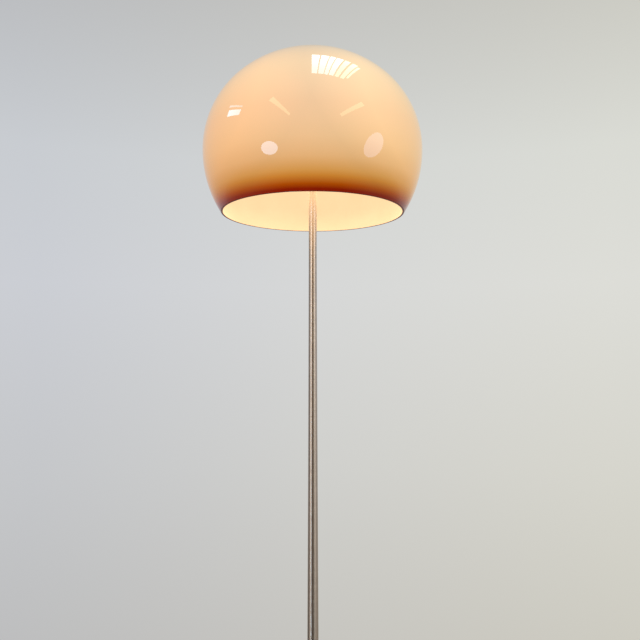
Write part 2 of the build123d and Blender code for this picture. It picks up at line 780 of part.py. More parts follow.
def centre_contact(side):
    """Folded brass leaf under the bulb's tip."""
    low = INSERT_START + INSERT_FLOOR
    high = low + CONTACT_RISE
    leaf = CONTACT_LEAF
    end = CONTACT_REACH
    bend = end / 2
    outline = Polyline(
        (-end, low),
        (bend, low),
        (bend + leaf, high),
        (-bend, high),
        (-bend, high - leaf),
        (bend - leaf, high - leaf),
        (bend - 2 * leaf, low + leaf),
        (-end, low + leaf),
        close=True,
    )
    return at_holder(side, extrude(Plane.XZ * make_face(outline), CONTACT_WIDTH / 2, both=True))


# ---------------------------------------------------------------- bulbs, built along +Z from the tip


def at_bulb(side, shape):
    """Move a bulb's piece into its lamp holder, tip down on the contact."""
    tip = INSERT_START + INSERT_FLOOR + CONTACT_RISE + SLIDE_GAP
    return at_holder(side, Pos(0, 0, tip) * shape)


def bulb_envelope(inset):
    """The space inside the glass moved inwards by inset: neck, cone and ball, from inside the cap."""
    neck = BULB_NECK_RADIUS - inset
    ball = BULB_RADIUS - inset
    centre = BULB_LENGTH - BULB_RADIUS
    # the cone touches the ball where the line from the neck's end is tangent to it
    away = hypot(neck, centre - BULB_NECK_END)
    touch = sqrt(away**2 - ball**2)
    lean = ball / away
    side = touch / away
    ux, uz = -neck / away, (centre - BULB_NECK_END) / away
    tx = neck + touch * (side * ux + lean * uz)
    tz = BULB_NECK_END + touch * (side * uz - lean * ux)
    inside = BULB_CAP_RADIUS - BULB_CAP_WALL - inset
    wall = [
        Line((0, BULB_GLASS_INSIDE_CAP), (inside, BULB_GLASS_INSIDE_CAP)),
        Line((inside, BULB_GLASS_INSIDE_CAP), (inside, BULB_CAP_END)),
        Line((inside, BULB_CAP_END), (neck, BULB_NECK_END)),
        Line((neck, BULB_NECK_END), (tx, tz)),
        ThreePointArc((tx, tz), (ball, centre), (0, centre + ball)),
        Line((0, centre + ball), (0, BULB_GLASS_INSIDE_CAP)),
    ]
    return revolve(Plane.XZ * make_face(wall), Axis.Z)


def bulb_glass(side):
    """Opal glass envelope, open inside the cap."""
    return at_bulb(side, bulb_envelope(0) - bulb_envelope(BULB_GLASS_WALL))


def bulb_cap(side):
    """Screw cap crimped on the glass."""
    inside = BULB_CAP_RADIUS - BULB_CAP_WALL
    turn = BULB_CAP_RADIUS - BULB_INSULATOR_RADIUS
    return at_bulb(
        side,
        turned(
            [
                (BULB_INSULATOR_RADIUS, BULB_CAP_START),
                (BULB_CAP_RADIUS, BULB_CAP_START + turn),
                (BULB_CAP_RADIUS, BULB_CAP_END),
                (inside, BULB_CAP_END),
                (inside, BULB_CAP_START + turn),
                (BULB_INSULATOR_RADIUS - BULB_CAP_WALL, BULB_CAP_START),
            ]
        ),
    )


def bulb_insulator(side):
    """Black glass cone between the cap and the tip."""
    return at_bulb(
        side,
        turned(
            [
                (0, BULB_TIP_THICK),
                (BULB_TIP_RADIUS, BULB_TIP_THICK),
                (BULB_INSULATOR_RADIUS, BULB_CAP_START),
                (0, BULB_CAP_START),
            ]
        ),
    )


def bulb_tip(side):
    """Solder tip."""
    return at_bulb(side, tube(BULB_TIP_RADIUS, 0, 0, BULB_TIP_THICK))


ONCE = [
    dome,
    support_rod,
    rod_nuts,
    carrier_nut,
    carrier_disc,
    carrier_gasket,
    top_washer,
    knob,
    stem,
    foot_bush,
    head_bush,
    foot_cover,
    felt_pad,
    base_screws,
    base_plate,
    foot_weight,
    tie_tube,
    tie_washer,
    tie_nut,
    cord_gland,
    gland_nut,
    terminal_block,
    stem_lead,
    switch_lead,
    switch_housing,
    switch_bezel,
    switch_button,
    switch_spring,
    head_collar,
    head_nipple,
    hub_nut,
    hub_cup,
    hub_lid,
    hub_splice,
]
EACH_SIDE = [
    arm,
    holder_lead,
    holder_cap,
    holder_skirt,
    holder_insert,
    screw_shell,
    centre_contact,
    bulb_glass,
    bulb_cap,
    bulb_insulator,
    bulb_tip,
]

os.makedirs("parts", exist_ok=True)
for make in ONCE:
    export_step(make(), f"parts/{make.__name__}.step")
for make in EACH_SIDE:
    for side in SIDES:
        export_step(make(side), f"parts/{make.__name__}_{side}.step")
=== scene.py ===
"""Mushroom floor lamp, dressed for its picture. The sections follow the lamp as it is put together, from
the felt pad up through the foot, the stem and the hub to the bulbs, the dome and the knob, and then the
studio round it. Metres, +Z up, the front is -Y."""

from math import atan2, ceil, cos, degrees, radians, sin, sqrt, tan

import bpy
from mathutils import Matrix, Vector


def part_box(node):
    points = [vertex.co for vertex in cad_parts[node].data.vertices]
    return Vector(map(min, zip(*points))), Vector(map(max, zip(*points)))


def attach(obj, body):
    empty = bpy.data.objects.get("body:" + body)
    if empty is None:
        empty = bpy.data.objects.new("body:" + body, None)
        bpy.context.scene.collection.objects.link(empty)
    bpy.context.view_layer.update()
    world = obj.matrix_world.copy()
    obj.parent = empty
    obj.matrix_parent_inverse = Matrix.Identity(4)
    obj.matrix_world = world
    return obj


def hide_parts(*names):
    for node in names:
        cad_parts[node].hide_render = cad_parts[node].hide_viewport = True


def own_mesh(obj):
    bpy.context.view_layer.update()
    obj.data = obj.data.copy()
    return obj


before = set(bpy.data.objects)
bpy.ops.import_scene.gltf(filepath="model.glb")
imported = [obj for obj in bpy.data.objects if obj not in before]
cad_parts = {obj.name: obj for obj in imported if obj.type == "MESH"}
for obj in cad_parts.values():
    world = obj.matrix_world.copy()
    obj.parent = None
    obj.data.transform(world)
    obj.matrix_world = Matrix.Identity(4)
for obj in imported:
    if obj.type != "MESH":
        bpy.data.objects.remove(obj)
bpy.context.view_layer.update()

# ---- Felt pad
# A disc of pressed charcoal wool felt, 270 mm across and 2.5 mm thick, glued under the foot so that the
# lamp doesn't mark the floor. Its fibres lie every way, and its edge is cut, not hemmed.


def seen(red, green, blue):
    """A colour as the eye sees it, each part 0 to 255, as the light that a shader works in."""
    parts = [value / 255 for value in (red, green, blue)]
    return (*(p / 12.92 if p <= 0.04045 else ((p + 0.055) / 1.055) ** 2.4 for p in parts), 1.0)


def new_finish(name, **sockets):
    """A finish with one Principled shader. Its constant values go straight on the shader's sockets."""
    finish = bpy.data.materials.new(name)
    finish.use_nodes = True
    shader = finish.node_tree.nodes["Principled BSDF"]
    for socket, value in sockets.items():
        shader.inputs[socket.replace("_", " ")].default_value = value
    return finish


def add_node(finish, kind, inputs=None, **settings):
    """Adds a node to a finish and joins or sets its inputs."""
    node = finish.node_tree.nodes.new(kind)
    for setting, value in settings.items():
        setattr(node, setting, value)
    for socket, value in (inputs or {}).items():
        if isinstance(value, bpy.types.NodeSocket):
            finish.node_tree.links.new(value, node.inputs[socket])
        else:
            node.inputs[socket].default_value = value
    return node


def feed(finish, socket, source):
    """Joins a pattern to a socket of the finish's own shader."""
    shader = finish.node_tree.nodes["Principled BSDF"]
    finish.node_tree.links.new(source, shader.inputs[socket])


def grain(finish, size, stretch=(1, 1, 1), detail=4.0, place=None):
    """Random grain with features of about this size, longer along the axes that stretch is small on."""
    place = place or add_node(finish, "ShaderNodeTexCoord").outputs["Object"]
    spread = add_node(finish, "ShaderNodeMapping", {"Vector": place, "Scale": stretch})
    inputs = {"Vector": spread.outputs["Vector"], "Scale": 1 / size, "Detail": detail}
    return add_node(finish, "ShaderNodeTexNoise", inputs).outputs["Fac"]


def tint(finish, pattern, *stops):
    """Turns a pattern into colours: each stop is a share from 0 to 1 and its colour."""
    ramp = add_node(finish, "ShaderNodeValToRGB", {"Fac": pattern})
    elements = ramp.color_ramp.elements
    while len(elements) < len(stops):
        elements.new(1.0)
    for element, (share, colour) in zip(elements, stops):
        element.position = share
        element.color = colour
    return ramp.outputs["Color"]


def spread_over(finish, pattern, low, high, start=0.3, end=0.7):
    """Spreads a pattern's range over the values between low and high."""
    inputs = {"Value": pattern, "From Min": start, "From Max": end, "To Min": low, "To Max": high}
    return add_node(finish, "ShaderNodeMapRange", inputs).outputs["Result"]


def relief(finish, pattern, depth, socket="Normal"):
    """Raises and sinks the surface by a pattern, to about this depth."""
    bump = add_node(finish, "ShaderNodeBump", {"Height": pattern, "Distance": depth, "Strength": 1.0})
    feed(finish, socket, bump.outputs["Normal"])


def dress(finish, *node_names):
    """Gives CAD nodes a finish."""
    for node_name in node_names:
        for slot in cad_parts[node_name].material_slots:
            slot.material = finish


charcoal_felt = new_finish("charcoal_felt", Roughness=0.95, Sheen_Weight=0.5, Sheen_Roughness=0.5)
fibres = grain(charcoal_felt, 0.0012, (1, 1, 2), 6.0)
tufts = grain(charcoal_felt, 0.009)
felt_mix = add_node(charcoal_felt, "ShaderNodeMath", {0: fibres, 1: tufts}, operation="ADD").outputs[0]
felt_share = spread_over(charcoal_felt, felt_mix, 0.0, 1.0, 0.7, 1.3)
felt_tones = ((0.0, seen(38, 37, 38)), (0.6, seen(58, 57, 57)), (1.0, seen(86, 84, 82)))
feed(charcoal_felt, "Base Color", tint(charcoal_felt, felt_share, *felt_tones))
relief(charcoal_felt, fibres, 0.0005)
dress(charcoal_felt, "felt_pad")

# ---- Base plate and its screws
# A 2 mm steel plate, zinc plated, that closes the foot from below. Three countersunk screws go up
# through it into the weight.

zinc = new_finish("zinc_plate", Metallic=1.0)
zinc_crystals = add_node(
    zinc,
    "ShaderNodeTexVoronoi",
    {"Vector": add_node(zinc, "ShaderNodeTexCoord").outputs["Object"], "Scale": 160.0},
)
zinc_haze = grain(zinc, 0.004)
zinc_mix = add_node(
    zinc, "ShaderNodeMath", {0: zinc_crystals.outputs["Distance"], 1: zinc_haze}, operation="MULTIPLY"
).outputs[0]
zinc_share = spread_over(zinc, zinc_mix, 0.0, 1.0, 0.05, 0.35)
feed(zinc, "Base Color", tint(zinc, zinc_share, (0.0, seen(176, 180, 184)), (1.0, seen(205, 206, 202))))
feed(zinc, "Roughness", spread_over(zinc, zinc_haze, 0.24, 0.42))
relief(zinc, grain(zinc, 0.0008), 0.00002)
dress(zinc, "base_plate", "base_screws")

# ---- Weight
# A disc of cast iron, 254 mm across, that keeps the lamp upright. It is left as it comes out of the sand,
# under a thin coat of black paint, with the sand's grain still in its skin.

cast_iron = new_finish("painted_cast_iron", Specular_IOR_Level=0.4)
sand_grain = grain(cast_iron, 0.0016, detail=6.0)
iron_patches = grain(cast_iron, 0.02)
iron_tones = ((0.35, seen(34, 34, 35)), (0.7, seen(52, 50, 48)))
feed(cast_iron, "Base Color", tint(cast_iron, iron_patches, *iron_tones))
feed(cast_iron, "Roughness", spread_over(cast_iron, sand_grain, 0.5, 0.75))
relief(cast_iron, sand_grain, 0.0006)
dress(cast_iron, "foot_weight")

# ---- Foot cover
# Sheet steel 1.5 mm thick, spun on a lathe into a flat disc 280 mm across, with a rounded edge and a
# long trumpet neck up to the stem, then satin brushed while it turns, so the lines run round it.

FOOT_RADIUS = 0.140
FOOT_TOP = 0.026
FOOT_EDGE_ROUND = 0.007
FOOT_SHEET = 0.0015
FOOT_UNDERSIDE = 0.0025
FLARE_START = 0.062
FLARE_ROUND = 0.030
NECK_RADIUS = 0.0106
NECK_HEIGHT = 0.300
SWITCH_PLACE = (0.0, -0.098)
SWITCH_HOLE = 0.0125
GLAND_HEIGHT = 0.0115
GLAND_HOLE = 0.0056
DRILL_DEPTH = 0.01
EDGE_STEPS, FLARE_STEPS, NECK_STEPS = 8, 16, 20
COVER_AROUND = 160


def draw_outline(name, start, runs):
    """Draws half of a turned piece's section in the XZ plane. A line run is the radius and height that
    it goes to. An arc run is its centre's radius and height, its degrees (anticlockwise) and its steps."""
    bpy.ops.object.select_all(action="DESELECT")
    bpy.ops.mesh.primitive_plane_add(size=0.001, location=(start[0], 0, start[1]))
    bpy.ops.object.transform_apply(location=True, rotation=True, scale=True)
    piece = bpy.context.object
    piece.name = piece.data.name = name
    bpy.ops.object.mode_set(mode="EDIT")
    bpy.ops.mesh.merge(type="CENTER")
    radius, height = start
    for run in runs:
        if len(run) == 2:
            step = (run[0] - radius, 0, run[1] - height)
            bpy.ops.mesh.extrude_region_move(TRANSFORM_OT_translate={"value": step})
            radius, height = run
        else:
            across, up, turn_by, steps = run
            centre = (across, 0, up)
            bpy.ops.mesh.spin(steps=steps, angle=radians(turn_by), center=centre, axis=(0, 1, 0))
            out, rise = radius - across, height - up
            swing = radians(turn_by)
            radius = across + out * cos(swing) - rise * sin(swing)
            height = up + out * sin(swing) + rise * cos(swing)
    return piece


def close_up(smooth_angle=35):
    """Merges a piece's doubles, points its faces outwards, and smooths all but its sharp edges."""
    bpy.ops.mesh.select_all(action="SELECT")
    bpy.ops.mesh.remove_doubles(threshold=0.000002)
    bpy.ops.mesh.normals_make_consistent(inside=False)
    bpy.ops.object.mode_set(mode="OBJECT")
    bpy.ops.object.shade_smooth_by_angle(angle=radians(smooth_angle))


def turn_on_lathe(name, start, runs, around):
    """A turned piece from its section, with this many steps around."""
    piece = draw_outline(name, start, runs)
    bpy.ops.mesh.select_all(action="SELECT")
    bpy.ops.mesh.spin(steps=around, angle=radians(360), center=(0, 0, 0), axis=(0, 0, 1))
    close_up()
    return piece


def drill(piece, place, turn, radius, depth):
    """Drills a round hole, centred at place and along Z turned by turn, through a piece."""
    bpy.ops.object.select_all(action="DESELECT")
    bpy.ops.mesh.primitive_cylinder_add(
        vertices=64, radius=radius, depth=depth, location=place, rotation=turn
    )
    cutter = bpy.context.object
    bpy.context.view_layer.objects.active = piece
    hole = piece.modifiers.new("hole", "BOOLEAN")
    hole.operation = "DIFFERENCE"
    hole.object = cutter
    bpy.ops.object.modifier_apply(modifier=hole.name)
    bpy.data.objects.remove(cutter)


def vector_step(finish, operation, *values):
    """One step of vector arithmetic in a finish. A length or a distance comes out as a number."""
    node = add_node(finish, "ShaderNodeVectorMath", dict(enumerate(values)), operation=operation)
    return node.outputs["Value" if operation in ("LENGTH", "DISTANCE") else "Vector"]


def round_lines(finish, size):
    """Fine lines round the Z axis, as brushing or turning leaves them: grain that only changes with the
    distance from the axis and with the height."""
    place = add_node(finish, "ShaderNodeTexCoord").outputs["Object"]
    parts = add_node(finish, "ShaderNodeSeparateXYZ", {"Vector": place}).outputs
    flat = add_node(finish, "ShaderNodeCombineXYZ", {"X": parts["X"], "Y": parts["Y"]}).outputs[0]
    distance = vector_step(finish, "LENGTH", flat)
    along = add_node(finish, "ShaderNodeCombineXYZ", {"X": distance, "Z": parts["Z"]}).outputs[0]
    return grain(finish, size, detail=3.0, place=along)


flare_reach = FLARE_START - NECK_RADIUS
neck_rise = NECK_HEIGHT - FOOT_TOP
neck_arc = (flare_reach**2 + neck_rise**2 - 2 * neck_rise * FLARE_ROUND) / (2 * (flare_reach - FLARE_ROUND))
neck_turn = degrees(atan2(neck_rise - FLARE_ROUND, neck_arc - flare_reach))
flare_centre = (FLARE_START, FOOT_TOP + FLARE_ROUND)
neck_centre = (NECK_RADIUS + neck_arc, NECK_HEIGHT)
edge_centre = (FOOT_RADIUS - FOOT_EDGE_ROUND, FOOT_TOP - FOOT_EDGE_ROUND)
foot_cover = turn_on_lathe(
    "foot_cover_spun",
    (FOOT_RADIUS, FOOT_UNDERSIDE),
    [
        (FOOT_RADIUS, edge_centre[1]),
        (*edge_centre, 90, EDGE_STEPS),
        (FLARE_START, FOOT_TOP),
        (*flare_centre, neck_turn - 90, FLARE_STEPS),
        (*neck_centre, -neck_turn, NECK_STEPS),
        (NECK_RADIUS - FOOT_SHEET, NECK_HEIGHT),
        (*neck_centre, neck_turn, NECK_STEPS),
        (*flare_centre, 90 - neck_turn, FLARE_STEPS),
        (edge_centre[0], FOOT_TOP - FOOT_SHEET),
        (*edge_centre, -90, EDGE_STEPS),
        (FOOT_RADIUS - FOOT_SHEET, FOOT_UNDERSIDE),
        (FOOT_RADIUS, FOOT_UNDERSIDE),
    ],
    COVER_AROUND,
)
drill(foot_cover, (*SWITCH_PLACE, FOOT_TOP), (0, 0, 0), SWITCH_HOLE, DRILL_DEPTH)
drill(foot_cover, (0, FOOT_RADIUS, GLAND_HEIGHT), (radians(90), 0, 0), GLAND_HOLE, DRILL_DEPTH)

satin_spun = new_finish("satin_spun_steel", Metallic=1.0, Anisotropic=0.7, Anisotropic_Rotation=0.25)
spun_lines = round_lines(satin_spun, 0.0006)
spun_haze = grain(satin_spun, 0.03)
spun_tones = ((0.3, seen(182, 176, 169)), (0.7, seen(208, 202, 195)))
feed(satin_spun, "Base Color", tint(satin_spun, spun_lines, *spun_tones))
feed(satin_spun, "Roughness", spread_over(satin_spun, spun_haze, 0.24, 0.34))
spun_round = add_node(satin_spun, "ShaderNodeTangent", direction_type="RADIAL", axis="Z")
feed(satin_spun, "Tangent", spun_round.outputs["Tangent"])
foot_cover.data.materials.append(satin_spun)
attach(foot_cover, "stand")
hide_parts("foot_cover")

# ---- Clamp in the foot
# An M10 threaded steel tube screws into the stem's lower end. A washer and a nut in the weight's well
# pull it down, so that the stem, the cover and the weight are one. All three are zinc plated.

threaded_zinc = new_finish("threaded_zinc", Metallic=1.0)
thread_place = add_node(threaded_zinc, "ShaderNodeTexCoord").outputs["Object"]
thread_lines = add_node(
    threaded_zinc,
    "ShaderNodeTexWave",
    {"Vector": thread_place, "Scale": 314.0},
    bands_direction="Z",
    wave_profile="TRI",
).outputs["Fac"]
thread_haze = grain(threaded_zinc, 0.003)
# The tone follows the thread's profile: painted shade darkens the roots and a painted highlight lightens
# the crests.
thread_root_shade_tones = ((0.0, seen(120, 120, 118)), (1.0, seen(204, 206, 204)))
feed(threaded_zinc, "Base Color", tint(threaded_zinc, thread_lines, *thread_root_shade_tones))
feed(threaded_zinc, "Roughness", spread_over(threaded_zinc, thread_haze, 0.25, 0.4))
relief(threaded_zinc, thread_lines, 0.0004)
dress(threaded_zinc, "tie_tube")
dress(zinc, "tie_washer", "tie_nut")

# ---- Cord inlet
# A chromed, flanged gland through the back of the cover, held by a black ring nut inside.

chrome = new_finish("chrome", Metallic=1.0)
chrome_haze = grain(chrome, 0.006)
chrome_hairs = grain(chrome, 0.0007, (1, 1, 6), 2.0)
chrome_tones = ((0.3, seen(214, 216, 218)), (0.7, seen(228, 229, 230)))
feed(chrome, "Base Color", tint(chrome, chrome_haze, *chrome_tones))
feed(chrome, "Roughness", spread_over(chrome, chrome_hairs, 0.05, 0.13))
relief(chrome, chrome_haze, 0.00002)
black_moulding = new_finish("black_moulding", IOR=1.55)
moulding_grain = grain(black_moulding, 0.0005)
moulding_cloud = grain(black_moulding, 0.012)
moulding_tones = ((0.35, seen(24, 23, 23)), (0.7, seen(38, 36, 35)))
feed(black_moulding, "Base Color", tint(black_moulding, moulding_cloud, *moulding_tones))
feed(black_moulding, "Roughness", spread_over(black_moulding, moulding_grain, 0.22, 0.4))
relief(black_moulding, moulding_grain, 0.00003)
dress(chrome, "cord_gland")
dress(black_moulding, "gland_nut")

# ---- Foot switch
# A moulded cup under the cover, clamped from above by a chromed ring. The black button, 20 mm across,
# stands 7.5 mm above the ring and goes down 4 mm on a coil spring of 1.2 mm wire, wound in 3.5 turns.

SPRING_WIRE = 0.0012
SPRING_RADIUS = 0.006
SPRING_TURNS = 3.5
SPRING_STEPS = 112
WIRE_SIDES = 14
SPRING_FOOT, SPRING_HEAD = (corner.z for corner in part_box("switch_spring"))

bpy.ops.object.select_all(action="DESELECT")
bpy.ops.mesh.primitive_circle_add(
    vertices=WIRE_SIDES,
    radius=SPRING_WIRE / 2,
    location=(SPRING_RADIUS, 0, SPRING_FOOT + SPRING_WIRE / 2),
    rotation=(radians(90), 0, 0),
)
spring = bpy.context.object
spring.name = spring.data.name = "switch_spring_wound"
bpy.ops.object.transform_apply(location=True, rotation=True, scale=True)
coiling = spring.modifiers.new("coiling", "SCREW")
coiling.axis = "Z"
coiling.angle = radians(360 * SPRING_TURNS)
coiling.screw_offset = SPRING_HEAD - SPRING_FOOT - SPRING_WIRE
coiling.steps = coiling.render_steps = SPRING_STEPS
bpy.ops.object.modifier_apply(modifier=coiling.name)
bpy.ops.object.mode_set(mode="EDIT")
bpy.ops.mesh.select_all(action="SELECT")
bpy.ops.mesh.fill_holes(sides=0)
close_up(40)
spring.location = (*SWITCH_PLACE, 0)
bpy.ops.object.transform_apply(location=True, rotation=True, scale=True)
spring.data.materials.append(zinc)
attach(spring, "stand")
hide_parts("switch_spring")
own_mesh(spring)

dress(black_moulding, "switch_housing", "switch_button")
dress(chrome, "switch_bezel")

# ---- Stem
# A drawn steel tube, 21 mm thick at the foot and 14 mm under the dome, with a wall of 1 mm. Its side bows
# in by 0.35 mm, and it is satin brushed as it turns. A bush is pressed into each end.

STEM_HEAD_RADIUS = 0.007
STEM_TOP = 1.252
STEM_BOW = 0.00035
STEM_WALL = 0.001
STEM_LEVELS = 24
STEM_AROUND = 72


def stem_radius(share):
    """Radius of the stem at a share of its length, from the foot up."""
    taper = NECK_RADIUS + share * (STEM_HEAD_RADIUS - NECK_RADIUS)
    return taper - 4 * STEM_BOW * share * (1 - share)


stem_length = STEM_TOP - NECK_HEIGHT
stem_shares = [level / STEM_LEVELS for level in range(STEM_LEVELS + 1)]
stem_side = [(stem_radius(share), NECK_HEIGHT + share * stem_length) for share in stem_shares]
stem_bore = [(radius - STEM_WALL, height) for radius, height in reversed(stem_side)]
stem_section = [*stem_side[1:], *stem_bore, stem_side[0]]
stem = turn_on_lathe("stem_drawn", stem_side[0], stem_section, STEM_AROUND)
satin_stem = new_finish("satin_stem_steel", Metallic=1.0, Anisotropic=0.95, Anisotropic_Rotation=0.25)
stem_lines = round_lines(satin_stem, 0.0007)
stem_cloud = grain(satin_stem, 0.04)
stem_tones = ((0.3, seen(196, 187, 178)), (0.7, seen(214, 205, 197)))
feed(satin_stem, "Base Color", tint(satin_stem, stem_lines, *stem_tones))
feed(satin_stem, "Roughness", spread_over(satin_stem, stem_cloud, 0.40, 0.46))
stem_round = add_node(satin_stem, "ShaderNodeTangent", direction_type="RADIAL", axis="Z")
feed(satin_stem, "Tangent", stem_round.outputs["Tangent"])
stem.data.materials.append(satin_stem)
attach(stem, "stand")
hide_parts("stem")
dress(zinc, "foot_bush", "head_bush")

# ---- Wiring
# Cream insulated leads run from the terminal block in the foot up through the stem to a splice in the
# hub, and from there to the two lamp holders. Both blocks are ivory plastic.

lead_jacket = new_finish("lead_jacket", IOR=1.5)
jacket_cloud = grain(lead_jacket, 0.01)
jacket_grain = grain(lead_jacket, 0.0006)
jacket_tones = ((0.3, seen(214, 205, 184)), (0.7, seen(232, 225, 208)))
feed(lead_jacket, "Base Color", tint(lead_jacket, jacket_cloud, *jacket_tones))
feed(lead_jacket, "Roughness", spread_over(lead_jacket, jacket_grain, 0.4, 0.55))
relief(lead_jacket, jacket_grain, 0.00004)
dress(lead_jacket, "stem_lead", "switch_lead", "holder_lead_left", "holder_lead_right")
ivory_block = new_finish("ivory_block", IOR=1.5)
ivory_cloud = grain(ivory_block, 0.008)
ivory_grain = grain(ivory_block, 0.0004)
ivory_tones = ((0.3, seen(226, 220, 203)), (0.7, seen(240, 236, 224)))
feed(ivory_block, "Base Color", tint(ivory_block, ivory_cloud, *ivory_tones))
feed(ivory_block, "Roughness", spread_over(ivory_block, ivory_grain, 0.35, 0.5))
relief(ivory_block, ivory_grain, 0.00003)
dress(ivory_block, "terminal_block", "hub_splice")

# ---- Hub
# A turned steel cup and lid, 44 mm across, on a collar at the top of the stem. A short threaded nipple
# and a thin nut hold it there. Outside it is satin brushed as it turns.

satin_turned = new_finish("satin_turned_steel", Metallic=1.0, Anisotropic=0.6, Anisotropic_Rotation=0.25)
turned_lines = round_lines(satin_turned, 0.0004)
turned_haze = grain(satin_turned, 0.012)
turned_tones = ((0.3, seen(178, 176, 172)), (0.7, seen(208, 206, 202)))
feed(satin_turned, "Base Color", tint(satin_turned, turned_lines, *turned_tones))
feed(satin_turned, "Roughness", spread_over(satin_turned, turned_haze, 0.22, 0.32))
turned_round = add_node(satin_turned, "ShaderNodeTangent", direction_type="RADIAL", axis="Z")
feed(satin_turned, "Tangent", turned_round.outputs["Tangent"])
dress(satin_turned, "head_collar", "hub_cup", "hub_lid")
dress(threaded_zinc, "head_nipple")
dress(zinc, "hub_nut")

# ---- Arms
# Two short brass tubes, threaded, that leave the hub 35 degrees above the horizontal, one to each side.

ARM_ANGLE = 35.0
ARM_LEVEL = 1.270
SIDES = {"left": -1, "right": 1}

brass = new_finish("bare_brass", Metallic=1.0)
brass_cloud = grain(brass, 0.005, detail=6.0)
brass_scuffs = grain(brass, 0.0008)
brass_tones = ((0.3, seen(168, 132, 74)), (0.55, seen(206, 172, 104)), (0.8, seen(222, 192, 126)))
feed(brass, "Base Color", tint(brass, brass_cloud, *brass_tones))
feed(brass, "Roughness", spread_over(brass, brass_scuffs, 0.2, 0.4))
relief(brass, brass_scuffs, 0.00002)
dress(brass, "arm_left", "arm_right")

# ---- Lamp holders
# Black phenolic screw holders. A cap with a coned back screws on the arm, and a skirt with grip ribs
# screws on the cap, round a ceramic insert with a brass screw shell and a folded brass contact.

SKIRT_START = 0.058
SKIRT_END = 0.088
SKIRT_RADIUS = 0.020
SKIRT_BORE = 0.0179
SKIRT_LIP = 0.0156
SKIRT_LIP_DEPTH = 0.002
RIB_COUNT = 36
RIB_DEPTH = 0.0006
RIB_SLOPE = 0.0003
SKIRT_BEVEL = 0.0005
GRIP_START = SKIRT_START + 0.004
GRIP_END = SKIRT_END - 0.006


def choose(piece, wanted, kind="faces"):
    """Deselects all of a piece and then selects the faces or vertices whose place is wanted."""
    bpy.ops.mesh.select_all(action="DESELECT")
    bpy.ops.object.mode_set(mode="OBJECT")
    if kind == "faces":
        for face in piece.data.polygons:
            face.select = wanted(face.center)
    else:
        for corner in piece.data.vertices:
            corner.select = wanted(corner.co)
    bpy.ops.object.mode_set(mode="EDIT")


def put_on_arm(piece, side):
    """Leans a piece that was built up the Z axis over to an arm's axis, from the hub's middle."""
    bpy.ops.object.select_all(action="DESELECT")
    piece.select_set(True)
    bpy.context.view_layer.objects.active = piece
    piece.rotation_euler = (0, SIDES[side] * radians(90 - ARM_ANGLE), 0)
    piece.location = (0, 0, ARM_LEVEL)
    bpy.ops.object.transform_apply(location=True, rotation=True, scale=True)


def pair(piece, name):
    """A piece and a copy with its own mesh, leaned over to the two arms and named for their sides."""
    twin = piece.copy()
    twin.data = piece.data.copy()
    bpy.context.collection.objects.link(twin)
    for one, side in ((piece, "left"), (twin, "right")):
        one.name = one.data.name = f"{name}_{side}"
        put_on_arm(one, side)
    return {"left": piece, "right": twin}


skirt = turn_on_lathe(
    "holder_skirt_ribbed",
    (SKIRT_BORE, SKIRT_START),
    [
        (SKIRT_RADIUS - SKIRT_BEVEL, SKIRT_START),
        (SKIRT_RADIUS - SKIRT_BEVEL, SKIRT_START + SKIRT_BEVEL, 90, 3),
        (SKIRT_RADIUS, GRIP_START),
        (SKIRT_RADIUS, GRIP_END),
        (SKIRT_RADIUS, SKIRT_END - SKIRT_LIP_DEPTH),
        (SKIRT_RADIUS - SKIRT_LIP_DEPTH, SKIRT_END - SKIRT_LIP_DEPTH, 90, 6),
        (SKIRT_LIP, SKIRT_END),
        (SKIRT_LIP, SKIRT_END - SKIRT_LIP_DEPTH),
        (SKIRT_BORE, SKIRT_END - SKIRT_LIP_DEPTH),
        (SKIRT_BORE, SKIRT_START),
    ],
    4 * RIB_COUNT,
)
bpy.ops.object.mode_set(mode="EDIT")


def between_ribs(place):
    """Whether a place on the skirt's grip lies in a groove and not on a rib."""
    turn = degrees(atan2(place.y, place.x)) * RIB_COUNT / 360
    on_outside = place.xy.length > SKIRT_RADIUS - 2 * SKIRT_BEVEL
    return GRIP_START < place.z < GRIP_END and on_outside and turn % 1 < 0.5


choose(skirt, between_ribs)
bpy.ops.mesh.inset(thickness=RIB_SLOPE, depth=-RIB_DEPTH, use_even_offset=True)
close_up(40)
skirt.data.materials.append(black_moulding)
for side, one in pair(skirt, "holder_skirt_ribbed").items():
    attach(one, "stand")
    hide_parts(f"holder_skirt_{side}")
dress(black_moulding, "holder_cap_left", "holder_cap_right")
porcelain = new_finish("glazed_porcelain", Coat_Weight=0.8, Coat_Roughness=0.06)
glaze_specks = grain(porcelain, 0.0006, detail=2.0)
glaze_cloud = grain(porcelain, 0.01)
glaze_tones = ((0.3, seen(228, 224, 214)), (0.7, seen(241, 239, 232)))
feed(porcelain, "Base Color", tint(porcelain, glaze_cloud, *glaze_tones))
feed(porcelain, "Roughness", spread_over(porcelain, glaze_specks, 0.2, 0.35))
relief(porcelain, glaze_cloud, 0.00005)
dress(porcelain, "holder_insert_left", "holder_insert_right")
dress(brass, "screw_shell_left", "screw_shell_right", "centre_contact_left", "centre_contact_right")

# ---- Bulbs
# Opal glass bulbs, 60 mm across and 105 mm long, lit: pale in the ball and warmer down to the neck. Each
# has a rolled screw cap crimped on the glass, a black glass cone and a solder tip, and turns on its arm.

